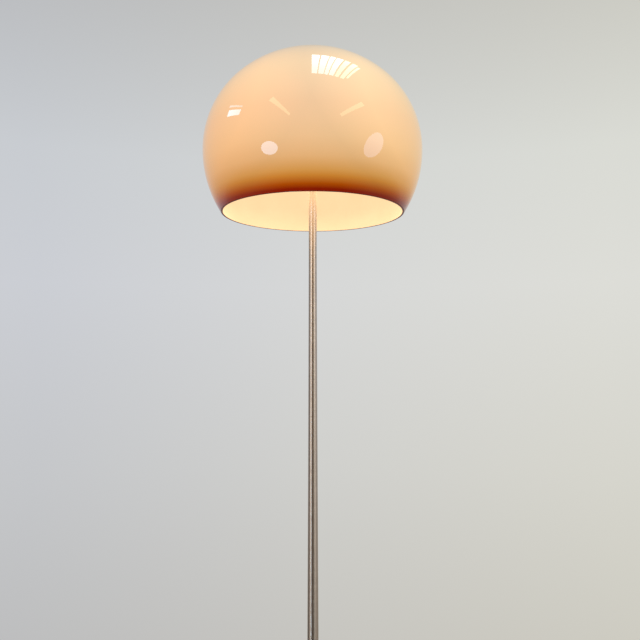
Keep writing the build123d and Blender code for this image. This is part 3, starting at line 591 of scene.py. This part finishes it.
BULB_TIP = 0.0583
BULB_RADIUS = 0.030
BULB_LENGTH = 0.105
BULB_NECK = 0.0143
BULB_NECK_END = 0.031
BULB_CAP_RADIUS = 0.0132
BULB_CAP_END = 0.025
BULB_CAP_START = 0.0045
BULB_INSULATOR = 0.0115
GLASS_START = 0.020
GLASS_IN_CAP = 0.0006
GLASS_AROUND = 72
GLOW_NEAR, GLOW_FAR = 0.028, 0.062
THREAD_PITCH = 0.0036
THREAD_ROOT = 0.0123
CAP_BAND = 0.004
CAP_SHEET = 0.0005
CAP_ROLL = 0.0004
CAP_SHOULDER = 0.0003
CAP_AROUND = 56


def wind_thread(name, outline_start, outline, pitch, low, high, around):
    """Winds one tooth of a thread, drawn pitch high, up round the Z axis, and cuts both ends flat."""
    piece = draw_outline(name, outline_start, outline)
    bpy.ops.object.mode_set(mode="OBJECT")
    winding = piece.modifiers.new("winding", "SCREW")
    winding.axis = "Z"
    winding.screw_offset = pitch
    winding.iterations = ceil((high - low) / pitch) + 1
    winding.steps = winding.render_steps = around
    winding.use_merge_vertices = True
    winding.merge_threshold = 0.000002
    bpy.ops.object.modifier_apply(modifier=winding.name)
    bpy.ops.object.mode_set(mode="EDIT")
    bpy.ops.mesh.select_all(action="SELECT")
    bpy.ops.mesh.remove_doubles(threshold=0.000002)
    bpy.ops.mesh.bisect(plane_co=(0, 0, low), plane_no=(0, 0, 1), clear_inner=True, use_fill=True)
    bpy.ops.mesh.select_all(action="SELECT")
    bpy.ops.mesh.bisect(plane_co=(0, 0, high), plane_no=(0, 0, 1), clear_outer=True, use_fill=True)
    close_up(60)
    return piece


ball_centre = BULB_TIP + BULB_LENGTH - BULB_RADIUS
neck_level = BULB_TIP + BULB_NECK_END
neck_away = sqrt(BULB_NECK**2 + (ball_centre - neck_level) ** 2)
neck_touch = sqrt(neck_away**2 - BULB_RADIUS**2)
along_r, along_z = -BULB_NECK / neck_away, (ball_centre - neck_level) / neck_away
touch_share, touch_lean = neck_touch / neck_away, BULB_RADIUS / neck_away
touch_r = BULB_NECK + neck_touch * (touch_share * along_r + touch_lean * along_z)
touch_z = neck_level + neck_touch * (touch_share * along_z - touch_lean * along_r)
ball_turn = 90 - degrees(atan2(touch_z - ball_centre, touch_r))
glass = turn_on_lathe(
    "bulb_glass_opal",
    (0, BULB_TIP + GLASS_START),
    [
        (BULB_CAP_RADIUS - GLASS_IN_CAP, BULB_TIP + GLASS_START),
        (BULB_CAP_RADIUS - GLASS_IN_CAP, BULB_TIP + BULB_CAP_END),
        (BULB_NECK, neck_level),
        (touch_r, touch_z),
        (0, ball_centre, ball_turn, 28),
    ],
    GLASS_AROUND,
)
opal_glass = new_finish("lit_opal_glass", IOR=1.5, Emission_Strength=1.0)
opal_cloud = grain(opal_glass, 0.02)
opal_tones = ((0.3, seen(92, 88, 80)), (0.7, seen(104, 100, 92)))
feed(opal_glass, "Base Color", tint(opal_glass, opal_cloud, *opal_tones))
ball_away = ball_centre * cos(radians(ARM_ANGLE))
ball_level = ARM_LEVEL + ball_centre * sin(radians(ARM_ANGLE))
opal_place = add_node(opal_glass, "ShaderNodeTexCoord").outputs["Object"]
either_side = vector_step(opal_glass, "ABSOLUTE", opal_place)
from_ball = vector_step(opal_glass, "DISTANCE", either_side, (ball_away, 0, ball_level))
to_the_neck = spread_over(opal_glass, from_ball, 0.0, 1.0, GLOW_NEAR, GLOW_FAR)
opal_glow = ((0.0, seen(255, 246, 222)), (0.5, seen(255, 232, 190)), (1.0, seen(240, 186, 128)))
feed(opal_glass, "Emission Color", tint(opal_glass, to_the_neck, *opal_glow))
feed(opal_glass, "Roughness", spread_over(opal_glass, grain(opal_glass, 0.001), 0.12, 0.22))
glass.data.materials.append(opal_glass)
for side, one in pair(glass, "bulb_glass_opal").items():
    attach(one, f"bulb_{side}")
    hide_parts(f"bulb_glass_{side}")

tooth = THREAD_PITCH / 4
thread_low = BULB_TIP + BULB_CAP_START + BULB_CAP_RADIUS - BULB_INSULATOR
thread_high = BULB_TIP + BULB_CAP_END - CAP_BAND
tooth_middle = (BULB_CAP_RADIUS + THREAD_ROOT) / 2
tooth_bulge = (BULB_CAP_RADIUS - THREAD_ROOT) / 2
cap_thread = wind_thread(
    "bulb_cap_thread",
    (THREAD_ROOT, thread_low - THREAD_PITCH),
    [
        (tooth_middle, thread_low - 3 * tooth),
        (BULB_CAP_RADIUS - tooth_bulge / 4, thread_low - 2.5 * tooth),
        (BULB_CAP_RADIUS, thread_low - 2 * tooth),
        (BULB_CAP_RADIUS - tooth_bulge / 4, thread_low - 1.5 * tooth),
        (tooth_middle, thread_low - tooth),
        (THREAD_ROOT, thread_low),
    ],
    THREAD_PITCH,
    thread_low,
    thread_high,
    CAP_AROUND,
)
cap_ends = turn_on_lathe(
    "bulb_cap_rolled",
    (BULB_INSULATOR, BULB_TIP + BULB_CAP_START),
    [
        (THREAD_ROOT + CAP_ROLL / 2, thread_low + CAP_ROLL),
        (THREAD_ROOT - CAP_ROLL, thread_high),
        (BULB_CAP_RADIUS - CAP_SHOULDER, thread_high + CAP_ROLL),
        (BULB_CAP_RADIUS, thread_high + 2 * CAP_ROLL),
        (BULB_CAP_RADIUS, BULB_TIP + BULB_CAP_END),
        (BULB_CAP_RADIUS - CAP_SHEET, BULB_TIP + BULB_CAP_END),
        (BULB_CAP_RADIUS - 4 * CAP_ROLL, thread_high),
        (BULB_INSULATOR - CAP_SHEET, BULB_TIP + BULB_CAP_START),
        (BULB_INSULATOR, BULB_TIP + BULB_CAP_START),
    ],
    CAP_AROUND,
)
bpy.ops.object.select_all(action="DESELECT")
cap_thread.select_set(True)
cap_ends.select_set(True)
bpy.context.view_layer.objects.active = cap_ends
bpy.ops.object.join()
bright_cap = new_finish("bright_bulb_cap", Metallic=1.0)
cap_cloud = grain(bright_cap, 0.004)
cap_tones = ((0.3, seen(196, 197, 198)), (0.7, seen(222, 222, 220)))
feed(bright_cap, "Base Color", tint(bright_cap, cap_cloud, *cap_tones))
feed(bright_cap, "Roughness", spread_over(bright_cap, grain(bright_cap, 0.0007), 0.16, 0.3))
relief(bright_cap, cap_cloud, 0.00003)
cap_ends.data.materials.append(bright_cap)
for side, one in pair(cap_ends, "bulb_cap_rolled").items():
    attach(one, f"bulb_{side}")
    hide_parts(f"bulb_cap_{side}")
dress(bright_cap, "bulb_tip_left", "bulb_tip_right")
black_glass = new_finish("black_glass", IOR=1.52)
black_swirl = grain(black_glass, 0.003)
black_tones = ((0.3, seen(16, 15, 18)), (0.7, seen(30, 28, 32)))
feed(black_glass, "Base Color", tint(black_glass, black_swirl, *black_tones))
feed(black_glass, "Roughness", spread_over(black_glass, black_swirl, 0.05, 0.12))
dress(black_glass, "bulb_insulator_left", "bulb_insulator_right")

# ---- Rod, nuts, disc and gasket that carry the dome
# An M8 threaded rod, zinc plated, stands in the hub's lid between two thin nuts. A third nut under the
# pressed disc sets the dome's height, and a black rubber gasket lies between the disc and the crown.

ROD_RADIUS = 0.004
ROD_ROOT = 0.00338
ROD_PITCH = 0.00125
ROD_AROUND = 28
ROD_LOW, ROD_HIGH = (corner.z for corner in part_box("support_rod"))

rod = wind_thread(
    "support_rod_threaded",
    (ROD_ROOT, ROD_LOW - ROD_PITCH),
    [(ROD_RADIUS, ROD_LOW - ROD_PITCH / 2), (ROD_ROOT, ROD_LOW)],
    ROD_PITCH,
    ROD_LOW,
    ROD_HIGH,
    ROD_AROUND,
)
rod.data.materials.append(zinc)
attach(rod, "stand")
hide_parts("support_rod")
dress(zinc, "rod_nuts", "carrier_nut", "carrier_disc")
soft_rubber = new_finish("soft_rubber", IOR=1.5)
rubber_bloom = grain(soft_rubber, 0.008)
rubber_tones = ((0.3, seen(34, 34, 34)), (0.7, seen(54, 53, 52)))
feed(soft_rubber, "Base Color", tint(soft_rubber, rubber_bloom, *rubber_tones))
feed(soft_rubber, "Roughness", spread_over(soft_rubber, grain(soft_rubber, 0.0006), 0.6, 0.85))
relief(soft_rubber, grain(soft_rubber, 0.0006), 0.00006)
dress(soft_rubber, "carrier_gasket")

# ---- Dome
# Two layers of acrylic blown as one, 3 mm thick and 400 mm across: warm beige outside, white inside.
# The light inside shows through it as peach, deeper where the wall turns in to the open rim, and it is
# polished all over.

RIM_HEIGHT = 1.200
WIDEST_LEVEL = 1.311
DOME_RADIUS = 0.200
DOME_TOP = 1.494
DOME_WALL = 0.003
SHOULDER_OFFSET = 0.028
CROWN_DROP = 0.03013636
CROWN_RADIUS = 0.21313636
DOME_HOLE = 0.0048
RIM_ROUND = 0.0009
RIM_BAND = 0.0004
SKIRT_STEPS, SHOULDER_STEPS, CROWN_STEPS = 16, 20, 20
DOME_AROUND = 160

BULB_CENTRES = {side: (sign * ball_away, 0, ball_level) for side, sign in SIDES.items()}
LOBE_STRETCH = (1.0, 1.0, 1.35)
LOBE_NEAR, LOBE_FAR = 0.175, 0.225
LOBE_COLOURS = {"left": (0.26, 0.12, 0.04), "right": (0.37, 0.25, 0.20)}


def skirt_turn(inset):
    """Degrees from the widest level down to the rim, for the dome's surface moved in by inset."""
    drop = WIDEST_LEVEL - RIM_HEIGHT
    return degrees(atan2(drop, sqrt((DOME_RADIUS - inset) ** 2 - drop**2)))


def crown_turn(inset):
    """Degrees of the crown's arc, from the shoulder to the hole, for the same surface."""
    return degrees(atan2(sqrt((CROWN_RADIUS - inset) ** 2 - DOME_HOLE**2), DOME_HOLE)) - shoulder_turn


shoulder_turn = degrees(atan2(CROWN_DROP, SHOULDER_OFFSET))
skirt_out, skirt_in = skirt_turn(0), skirt_turn(DOME_WALL)
rim_out = DOME_RADIUS * cos(radians(skirt_out))
ball_middle = (0, WIDEST_LEVEL)
shoulder_middle = (SHOULDER_OFFSET, WIDEST_LEVEL)
crown_middle = (0, WIDEST_LEVEL - CROWN_DROP)
hole_in = crown_middle[1] + sqrt((CROWN_RADIUS - DOME_WALL) ** 2 - DOME_HOLE**2)
dome = turn_on_lathe(
    "dome_acrylic",
    (rim_out, RIM_HEIGHT),
    [
        (*ball_middle, skirt_out, SKIRT_STEPS),
        (*shoulder_middle, shoulder_turn, SHOULDER_STEPS),
        (*crown_middle, crown_turn(0), CROWN_STEPS),
        (DOME_HOLE, hole_in),
        (*crown_middle, -crown_turn(DOME_WALL), CROWN_STEPS),
        (*shoulder_middle, -shoulder_turn, SHOULDER_STEPS),
        (*ball_middle, -skirt_in, SKIRT_STEPS),
        (rim_out, RIM_HEIGHT),
    ],
    DOME_AROUND,
)
bpy.ops.object.mode_set(mode="EDIT")
choose(dome, lambda place: place.z < RIM_HEIGHT + 0.00001, "corners")
bpy.ops.mesh.bevel(offset=RIM_ROUND, offset_type="OFFSET", segments=4, affect="EDGES")
close_up(50)

beige_outside = new_finish(
    "lit_acrylic_outside",
    Roughness=0.22,
    IOR=1.49,
    Specular_IOR_Level=0.0,
    Coat_Weight=1.0,
    Coat_Roughness=0.02,
    Coat_IOR=1.49,
    Coat_Tint=(0.50, 0.46, 0.36, 1),
    Emission_Strength=2.1,
)
dome_place = add_node(beige_outside, "ShaderNodeTexCoord").outputs["Object"]
dome_height = add_node(beige_outside, "ShaderNodeSeparateXYZ", {"Vector": dome_place}).outputs["Z"]
dome_share = spread_over(beige_outside, dome_height, 0.0, 1.0, RIM_HEIGHT, DOME_TOP)
glow_up_the_wall = tint(
    beige_outside,
    dome_share,
    (0.012, seen(56, 0, 0)),
    (0.036, seen(125, 70, 0)),
    (0.075, seen(167, 130, 55)),
    (0.102, seen(180, 153, 89)),
    (0.17, seen(195, 177, 133)),
    (0.27, seen(205, 193, 158)),
    (0.45, seen(215, 207, 183)),
    (0.7, seen(231, 234, 218)),
    (1.0, seen(240, 250, 246)),
)
upright = vector_step(beige_outside, "MULTIPLY", dome_place, LOBE_STRETCH)
lobe_light = (1, 1, 1)
for side, centre in BULB_CENTRES.items():
    lobe_centre = [part * stretch for part, stretch in zip(centre, LOBE_STRETCH)]
    away = vector_step(beige_outside, "DISTANCE", upright, lobe_centre)
    near = spread_over(beige_outside, away, 1.0, 0.0, LOBE_NEAR, LOBE_FAR)
    lobe_light = vector_step(beige_outside, "MULTIPLY_ADD", near, LOBE_COLOURS[side], lobe_light)
glow_with_lobes = vector_step(beige_outside, "MULTIPLY", glow_up_the_wall, lobe_light)
feed(beige_outside, "Emission Color", glow_with_lobes)
acrylic_cloud = grain(beige_outside, 0.05)
acrylic_tones = ((0.3, seen(167, 40, 8)), (0.7, seen(175, 45, 11)))
feed(beige_outside, "Base Color", tint(beige_outside, acrylic_cloud, *acrylic_tones))

white_inside = new_finish("lit_acrylic_inside", Roughness=0.35, IOR=1.49, Emission_Strength=1.0)
inside_cloud = grain(white_inside, 0.06)
inside_tones = ((0.3, seen(128, 124, 114)), (0.7, seen(136, 132, 122)))
inside_glow = ((0.3, seen(240, 195, 147)), (0.7, seen(244, 199, 151)))
feed(white_inside, "Base Color", tint(white_inside, inside_cloud, *inside_tones))
feed(white_inside, "Emission Color", tint(white_inside, inside_cloud, *inside_glow))

cut_rim = new_finish("polished_rim", Roughness=0.3, IOR=1.49, Specular_IOR_Level=0.2)
rim_cloud = grain(cut_rim, 0.01)
feed(cut_rim, "Base Color", tint(cut_rim, rim_cloud, (0.3, seen(84, 18, 4)), (0.7, seen(98, 26, 8))))

for layer in (beige_outside, white_inside, cut_rim):
    dome.data.materials.append(layer)
for face in dome.data.polygons:
    outward = face.normal.dot(face.center - Vector((0, 0, WIDEST_LEVEL))) > 0
    on_rim = face.center.z < RIM_HEIGHT + RIM_BAND
    face.material_index = 2 if on_rim else (0 if outward else 1)
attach(dome, "shade")
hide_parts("dome")

# ---- Top washer and knob
# A chromed washer on the crown, and a turned, chromed knob with a waist and a ball that screws down on
# the rod and holds the dome.

KNOB_FOOT = 0.008
KNOB_WAIST = 0.0056
KNOB_BALL = 0.007
KNOB_BORE = 0.0041
KNOB_BORE_DEPTH = 0.010
KNOB_BEVEL = 0.0003
KNOB_SEAM = 0.0001
KNOB_AROUND = 72
KNOB_LOW, KNOB_TOP = (corner.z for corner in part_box("knob"))

knob_ball = KNOB_TOP - KNOB_BALL
knob_waist = KNOB_TOP - 2 * KNOB_BALL
knob_drop = sqrt(KNOB_BALL**2 - KNOB_WAIST**2)
knob = turn_on_lathe(
    "knob_turned",
    (KNOB_BORE, KNOB_LOW),
    [
        (KNOB_FOOT - KNOB_BEVEL, KNOB_LOW),
        (KNOB_FOOT - KNOB_BEVEL, KNOB_LOW + KNOB_BEVEL, 90, 3),
        (KNOB_FOOT, (KNOB_LOW + knob_waist) / 2 - KNOB_SEAM),
        (KNOB_WAIST + KNOB_BEVEL, knob_waist),
        (KNOB_WAIST, knob_waist + 2 * KNOB_BEVEL),
        (KNOB_WAIST, knob_ball - knob_drop),
        (0, knob_ball, 90 + degrees(atan2(knob_drop, KNOB_WAIST)), 22),
        (0, KNOB_LOW + KNOB_BORE_DEPTH),
        (KNOB_BORE, KNOB_LOW + KNOB_BORE_DEPTH),
        (KNOB_BORE, KNOB_LOW),
    ],
    KNOB_AROUND,
)
knob.data.materials.append(chrome)
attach(knob, "finial")
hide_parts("knob")
dress(chrome, "top_washer")

# ---- Studio floor and backdrop
# A pale floor that fades out at its edge into a pale backdrop all round. The backdrop is a little darker
# at the top and at the bottom, and a little bluer on the left, as a white wall is in daylight.

FLOOR_RADIUS = 1.0
FLOOR_SOLID, FLOOR_CLEAR = 0.6, 0.98
ROOM_STRENGTH = 0.85

bpy.ops.object.select_all(action="DESELECT")
bpy.ops.mesh.primitive_circle_add(
    vertices=96, radius=FLOOR_RADIUS, fill_type="NGON", location=(0, 0, 0)
)
floor = bpy.context.object
floor.name = floor.data.name = "studio_floor"
floor_paint = new_finish("floor_paint", Roughness=0.8)
floor_cloud = grain(floor_paint, 0.3)
floor_tones = ((0.3, seen(203, 201, 196)), (0.7, seen(207, 205, 200)))
feed(floor_paint, "Base Color", tint(floor_paint, floor_cloud, *floor_tones))
floor_place = add_node(floor_paint, "ShaderNodeTexCoord").outputs["Object"]
floor_away = vector_step(floor_paint, "LENGTH", floor_place)
floor_fade = spread_over(floor_paint, floor_away, 1.0, 0.0, FLOOR_SOLID, FLOOR_CLEAR)
floor_clear = add_node(floor_paint, "ShaderNodeBsdfTransparent").outputs["BSDF"]
floor_solid = floor_paint.node_tree.nodes["Principled BSDF"].outputs["BSDF"]
floor_mix = add_node(floor_paint, "ShaderNodeMixShader", {0: floor_fade, 1: floor_clear, 2: floor_solid})
floor_end = floor_paint.node_tree.nodes["Material Output"]
floor_paint.node_tree.links.new(floor_mix.outputs["Shader"], floor_end.inputs["Surface"])
floor.data.materials.append(floor_paint)

backdrop = bpy.data.worlds.new("backdrop")
bpy.context.scene.world = backdrop
backdrop.use_nodes = True
room = backdrop.node_tree.nodes["Background"]
room.inputs["Color"].default_value = (1, 1, 1, 1)
room.inputs["Strength"].default_value = ROOM_STRENGTH
looking = add_node(backdrop, "ShaderNodeTexCoord").outputs["Generated"]
looking_at = add_node(backdrop, "ShaderNodeSeparateXYZ", {"Vector": looking}).outputs
wall_share = spread_over(backdrop, looking_at["Z"], 0.0, 1.0, -0.5, 0.6)
wall_tone = tint(
    backdrop,
    wall_share,
    (0.0, seen(200, 197, 189)),
    (0.3, seen(214, 213, 208)),
    (0.55, seen(221, 221, 219)),
    (0.72, seen(218, 219, 216)),
    (1.0, seen(192, 190, 184)),
)
side_share = spread_over(backdrop, looking_at["X"], 0.0, 1.0, -0.4, 0.4)
side_stops = ((0.0, seen(235, 238, 247)), (0.5, seen(248, 249, 251)), (1.0, seen(255, 255, 251)))
side_tone = tint(backdrop, side_share, *side_stops)
wall_colour = vector_step(backdrop, "MULTIPLY", wall_tone, side_tone)
wall = add_node(backdrop, "ShaderNodeBackground", {"Color": wall_colour, "Strength": 1.0})
paths = add_node(backdrop, "ShaderNodeLightPath").outputs
seen_ray = add_node(
    backdrop, "ShaderNodeMath", {0: paths["Is Camera Ray"], 1: paths["Is Glossy Ray"]}, operation="MAXIMUM"
).outputs[0]
shown_ray = add_node(
    backdrop, "ShaderNodeMath", {0: seen_ray, 1: paths["Is Transmission Ray"]}, operation="MAXIMUM"
).outputs[0]
room_or_wall = add_node(
    backdrop,
    "ShaderNodeMixShader",
    {0: shown_ray, 1: room.outputs["Background"], 2: wall.outputs["Background"]},
)
backdrop.node_tree.links.new(
    room_or_wall.outputs["Shader"], backdrop.node_tree.nodes["World Output"].inputs["Surface"]
)

# ---- Studio lights
# One large soft lamp, high on the left, gives the form a light side, and a small one shines down out of
# the dome. The roof panes, windows, bars, strips and carpet are flat cards that only show in the gloss.


def soft_lamp(name, place, aim, size, watts, colour):
    """A square area lamp that points at a place and doesn't show itself."""
    data = bpy.data.lights.new(name, "AREA")
    data.shape = "SQUARE"
    data.size = size
    data.energy = watts
    data.color = colour
    lamp = bpy.data.objects.new(name, data)
    lamp.location = place
    lamp.rotation_euler = (Vector(aim) - Vector(place)).to_track_quat("-Z", "Y").to_euler()
    bpy.context.scene.collection.objects.link(lamp)
    lamp.visible_camera = False
    lamp.visible_glossy = False
    return lamp


soft_lamp("key_lamp", (-1.8, -2.2, 2.6), (0, 0, 0.8), size=1.6, watts=40.0, colour=(1.0, 0.99, 0.97))


def glow_finish(name, colour, strength):
    """A plain glowing finish for what only shows in reflections."""
    finish = bpy.data.materials.new(name)
    finish.use_nodes = True
    finish.node_tree.nodes.clear()
    glow = add_node(finish, "ShaderNodeEmission", {"Color": colour, "Strength": strength})
    end = add_node(finish, "ShaderNodeOutputMaterial")
    finish.node_tree.links.new(glow.outputs["Emission"], end.inputs["Surface"])
    return finish


def only_in_gloss(card, finish):
    """Makes a card part of the studio that only reflections show."""
    card.data.materials.append(finish)
    card.visible_camera = card.visible_diffuse = card.visible_transmission = False
    card.visible_shadow = card.visible_volume_scatter = False


def hang_card(name, place, aim, width, height, roll, finish, taper=1.0):
    """Hangs a flat card at a place, facing a point and turned by roll degrees, its left end narrowed."""
    bpy.ops.object.select_all(action="DESELECT")
    bpy.ops.mesh.primitive_plane_add(size=1.0, location=(0, 0, 0))
    card = bpy.context.object
    card.name = card.data.name = name
    bpy.ops.object.mode_set(mode="EDIT")
    choose(card, lambda corner: corner.x < 0, "corners")
    bpy.ops.transform.resize(value=(1, taper, 1), center_override=(0, 0, 0))
    bpy.ops.object.mode_set(mode="OBJECT")
    turn_to_face(card, place, aim, (width, height), roll)
    only_in_gloss(card, finish)


def hang_round(name, place, aim, width, height, roll, finish):
    """Hangs a flat oval, as a card is hung."""
    bpy.ops.object.select_all(action="DESELECT")
    bpy.ops.mesh.primitive_circle_add(vertices=48, radius=0.5, fill_type="NGON", location=(0, 0, 0))
    oval = bpy.context.object
    oval.name = oval.data.name = name
    turn_to_face(oval, place, aim, (width, height), roll)
    only_in_gloss(oval, finish)


def turn_to_face(card, place, aim, size, roll):
    """Sizes a card, turns it in its own plane and towards a point, and puts it in its place."""
    facing = (Vector(aim) - Vector(place)).to_track_quat("Z", "Y").to_matrix().to_4x4()
    lean = Matrix.Rotation(radians(roll), 4, "Z") @ Matrix.Diagonal((*size, 1, 1))
    card.data.transform(Matrix.Translation(place) @ facing @ lean)


daylight = glow_finish("daylight_pane", (0.70, 0.88, 1.0, 1), 8.0)
warm_daylight = glow_finish("warm_daylight_pane", (0.92, 0.95, 0.80, 1), 6.2)
ROOF_LEVEL = 3.0
ROOF_PANES = [  # across the room, and wide
    (0.045, 0.116),
    (0.182, 0.116),
    (0.298, 0.080),
    (0.410, 0.108),
    (0.540, 0.094),
    (0.676, 0.100),
]
for number, (across, width) in enumerate(ROOF_PANES):
    pane_finish = daylight if number < 4 else warm_daylight
    spot = (across, -0.18, ROOF_LEVEL)
    hang_card(f"roof_pane_{number}", spot, (across, -0.18, 0), width, 1.04, 0, pane_finish)
hang_card("roof_pane_6", (0.778, -0.17, ROOF_LEVEL), (0.778, -0.17, 0), 0.05, 0.85, 0, warm_daylight)

dome_middle = (0, -0.15, WIDEST_LEVEL)
window_light = glow_finish("window_light", (0.50, 0.74, 1.0, 1), 9.5)
pale_window = glow_finish("pale_window_light", (0.58, 0.68, 0.96, 1), 4.8)
strip_light = glow_finish("strip_light", (1.0, 0.98, 0.62, 1), 3.6)
hang_round("round_window_left", (-1.414, -1.639, 1.016), dome_middle, 0.64, 0.44, 14, window_light)
hang_round("round_window_right", (1.885, -1.068, 1.258), dome_middle, 0.98, 0.61, -49, pale_window)
hang_card("bright_bar_left", (-1.867, -0.159, 2.311), dome_middle, 0.60, 0.17, 0, window_light)
hang_card("faint_bar_left", (-1.772, -0.116, 2.469), dome_middle, 0.66, 0.05, 0, pale_window)
hang_card("strip_left", (-0.981, -1.640, 2.352), dome_middle, 1.05, 0.18, 42, strip_light, 0.4)
hang_card("strip_right", (1.220, -1.511, 2.278), dome_middle, 1.05, 0.12, -30, strip_light, 1.3)


def height_glow(name, low_colour, high_colour):
    """A glowing finish that goes from one colour near the floor to another under the dome."""
    finish = glow_finish(name, high_colour, 1.0)
    place = add_node(finish, "ShaderNodeTexCoord").outputs["Object"]
    height = add_node(finish, "ShaderNodeSeparateXYZ", {"Vector": place}).outputs["Z"]
    share = spread_over(finish, height, 0.0, 1.0, 0.4, 1.1)
    glow = finish.node_tree.nodes["Emission"]
    tone = tint(finish, share, (0.0, low_colour), (1.0, high_colour))
    finish.node_tree.links.new(tone, glow.inputs["Color"])
    return finish


# The strips hang round the stem, each over a range of degrees from the front. The second one leans.
STRIP_AWAY = 0.06
STRIP_LOW, STRIP_HIGH = 0.12, 1.19
stem_strips = [  # first and last degree, lean, colour below and above
    (-112, -68, 0.0, (0.11, 0.09, 0.07, 1), (0.34, 0.30, 0.27, 1)),
    (-64, -39, 1.2, (0.80, 0.70, 0.60, 1), (2.20, 1.95, 1.75, 1)),
    (-24, 20, 0.0, (0.05, 0.03, 0.02, 1), (0.20, 0.14, 0.09, 1)),
    (42, 68, 0.0, (0.42, 0.36, 0.29, 1), (1.60, 1.42, 1.26, 1)),
    (68, 130, 0.0, (0.36, 0.31, 0.25, 1), (0.55, 0.52, 0.50, 1)),
]
for number, (first, last, roll, low_colour, high_colour) in enumerate(stem_strips):
    middle = radians((first + last) / 2)
    spot = (STRIP_AWAY * sin(middle), -STRIP_AWAY * cos(middle), (STRIP_LOW + STRIP_HIGH) / 2)
    wide = 2 * STRIP_AWAY * tan(radians((last - first) / 2))
    strip_finish = height_glow(f"stem_strip_{number}", low_colour, high_colour)
    tall = STRIP_HIGH - STRIP_LOW
    hang_card(f"stem_strip_{number}", spot, (0, 0, spot[2]), wide, tall, roll, strip_finish)

CARPET_RADIUS = 6.0
CARPET_LEVEL = 0.001
CARPET_FRONT = (0, -1.4, 0)

bpy.ops.object.select_all(action="DESELECT")
bpy.ops.mesh.primitive_circle_add(
    vertices=96, radius=CARPET_RADIUS, fill_type="NGON", location=(0, 0, CARPET_LEVEL)
)
carpet = bpy.context.object
carpet.name = carpet.data.name = "carpet_in_gloss"
bpy.ops.object.transform_apply(location=True, rotation=True, scale=True)
carpet_glow = glow_finish("carpet_glow", (1, 1, 1, 1), 1.0)
carpet_place = add_node(carpet_glow, "ShaderNodeTexCoord").outputs["Object"]
front_away = vector_step(carpet_glow, "DISTANCE", carpet_place, CARPET_FRONT)
front_share = spread_over(carpet_glow, front_away, 0.0, 1.0, 0.9, 2.2)
carpet_tone = tint(carpet_glow, front_share, (0.0, (0.02, 0.012, 0.006, 1)), (1.0, (0.34, 0.29, 0.21, 1)))
carpet_emission = carpet_glow.node_tree.nodes["Emission"]
carpet_glow.node_tree.links.new(carpet_tone, carpet_emission.inputs["Color"])
carpet_away = vector_step(carpet_glow, "LENGTH", carpet_place)
carpet_near = spread_over(carpet_glow, carpet_away, 0.0, 1.0, 0.3, 0.7)
carpet_far = spread_over(carpet_glow, carpet_away, 1.0, 0.0, 2.4, CARPET_RADIUS)
near_and_far = {0: carpet_near, 1: carpet_far}
carpet_fade = add_node(carpet_glow, "ShaderNodeMath", near_and_far, operation="MULTIPLY").outputs[0]
carpet_clear = add_node(carpet_glow, "ShaderNodeBsdfTransparent").outputs["BSDF"]
carpet_mix = add_node(
    carpet_glow,
    "ShaderNodeMixShader",
    {0: carpet_fade, 1: carpet_clear, 2: carpet_emission.outputs["Emission"]},
)
carpet_end = carpet_glow.node_tree.nodes["Material Output"]
carpet_glow.node_tree.links.new(carpet_mix.outputs["Shader"], carpet_end.inputs["Surface"])
only_in_gloss(carpet, carpet_glow)

mouth = bpy.data.lights.new("light_from_the_mouth", "AREA")
mouth.shape = "DISK"
mouth.size = 0.28
mouth.energy = 0.4
mouth.color = (1.0, 0.66, 0.36)
mouth_lamp = bpy.data.objects.new("light_from_the_mouth", mouth)
mouth_lamp.location = (0, 0, 1.245)
mouth_lamp.visible_camera = False
bpy.context.scene.collection.objects.link(mouth_lamp)

# ---- Camera
# Low, 1.16 m in front of the lamp and looking slightly up, with the frame cut off above the foot.

camera_data = bpy.data.cameras.new("camera")
camera_data.lens = 36.0
camera_data.sensor_width = 36.0
camera = bpy.data.objects.new("camera", camera_data)
camera.location = (0.0131, -1.1615, 0.94215)
camera.rotation_euler = (radians(90 + 3.12), radians(0.065), 0)
bpy.context.scene.collection.objects.link(camera)
bpy.context.scene.camera = camera
bpy.context.scene.view_settings.view_transform = "Standard"
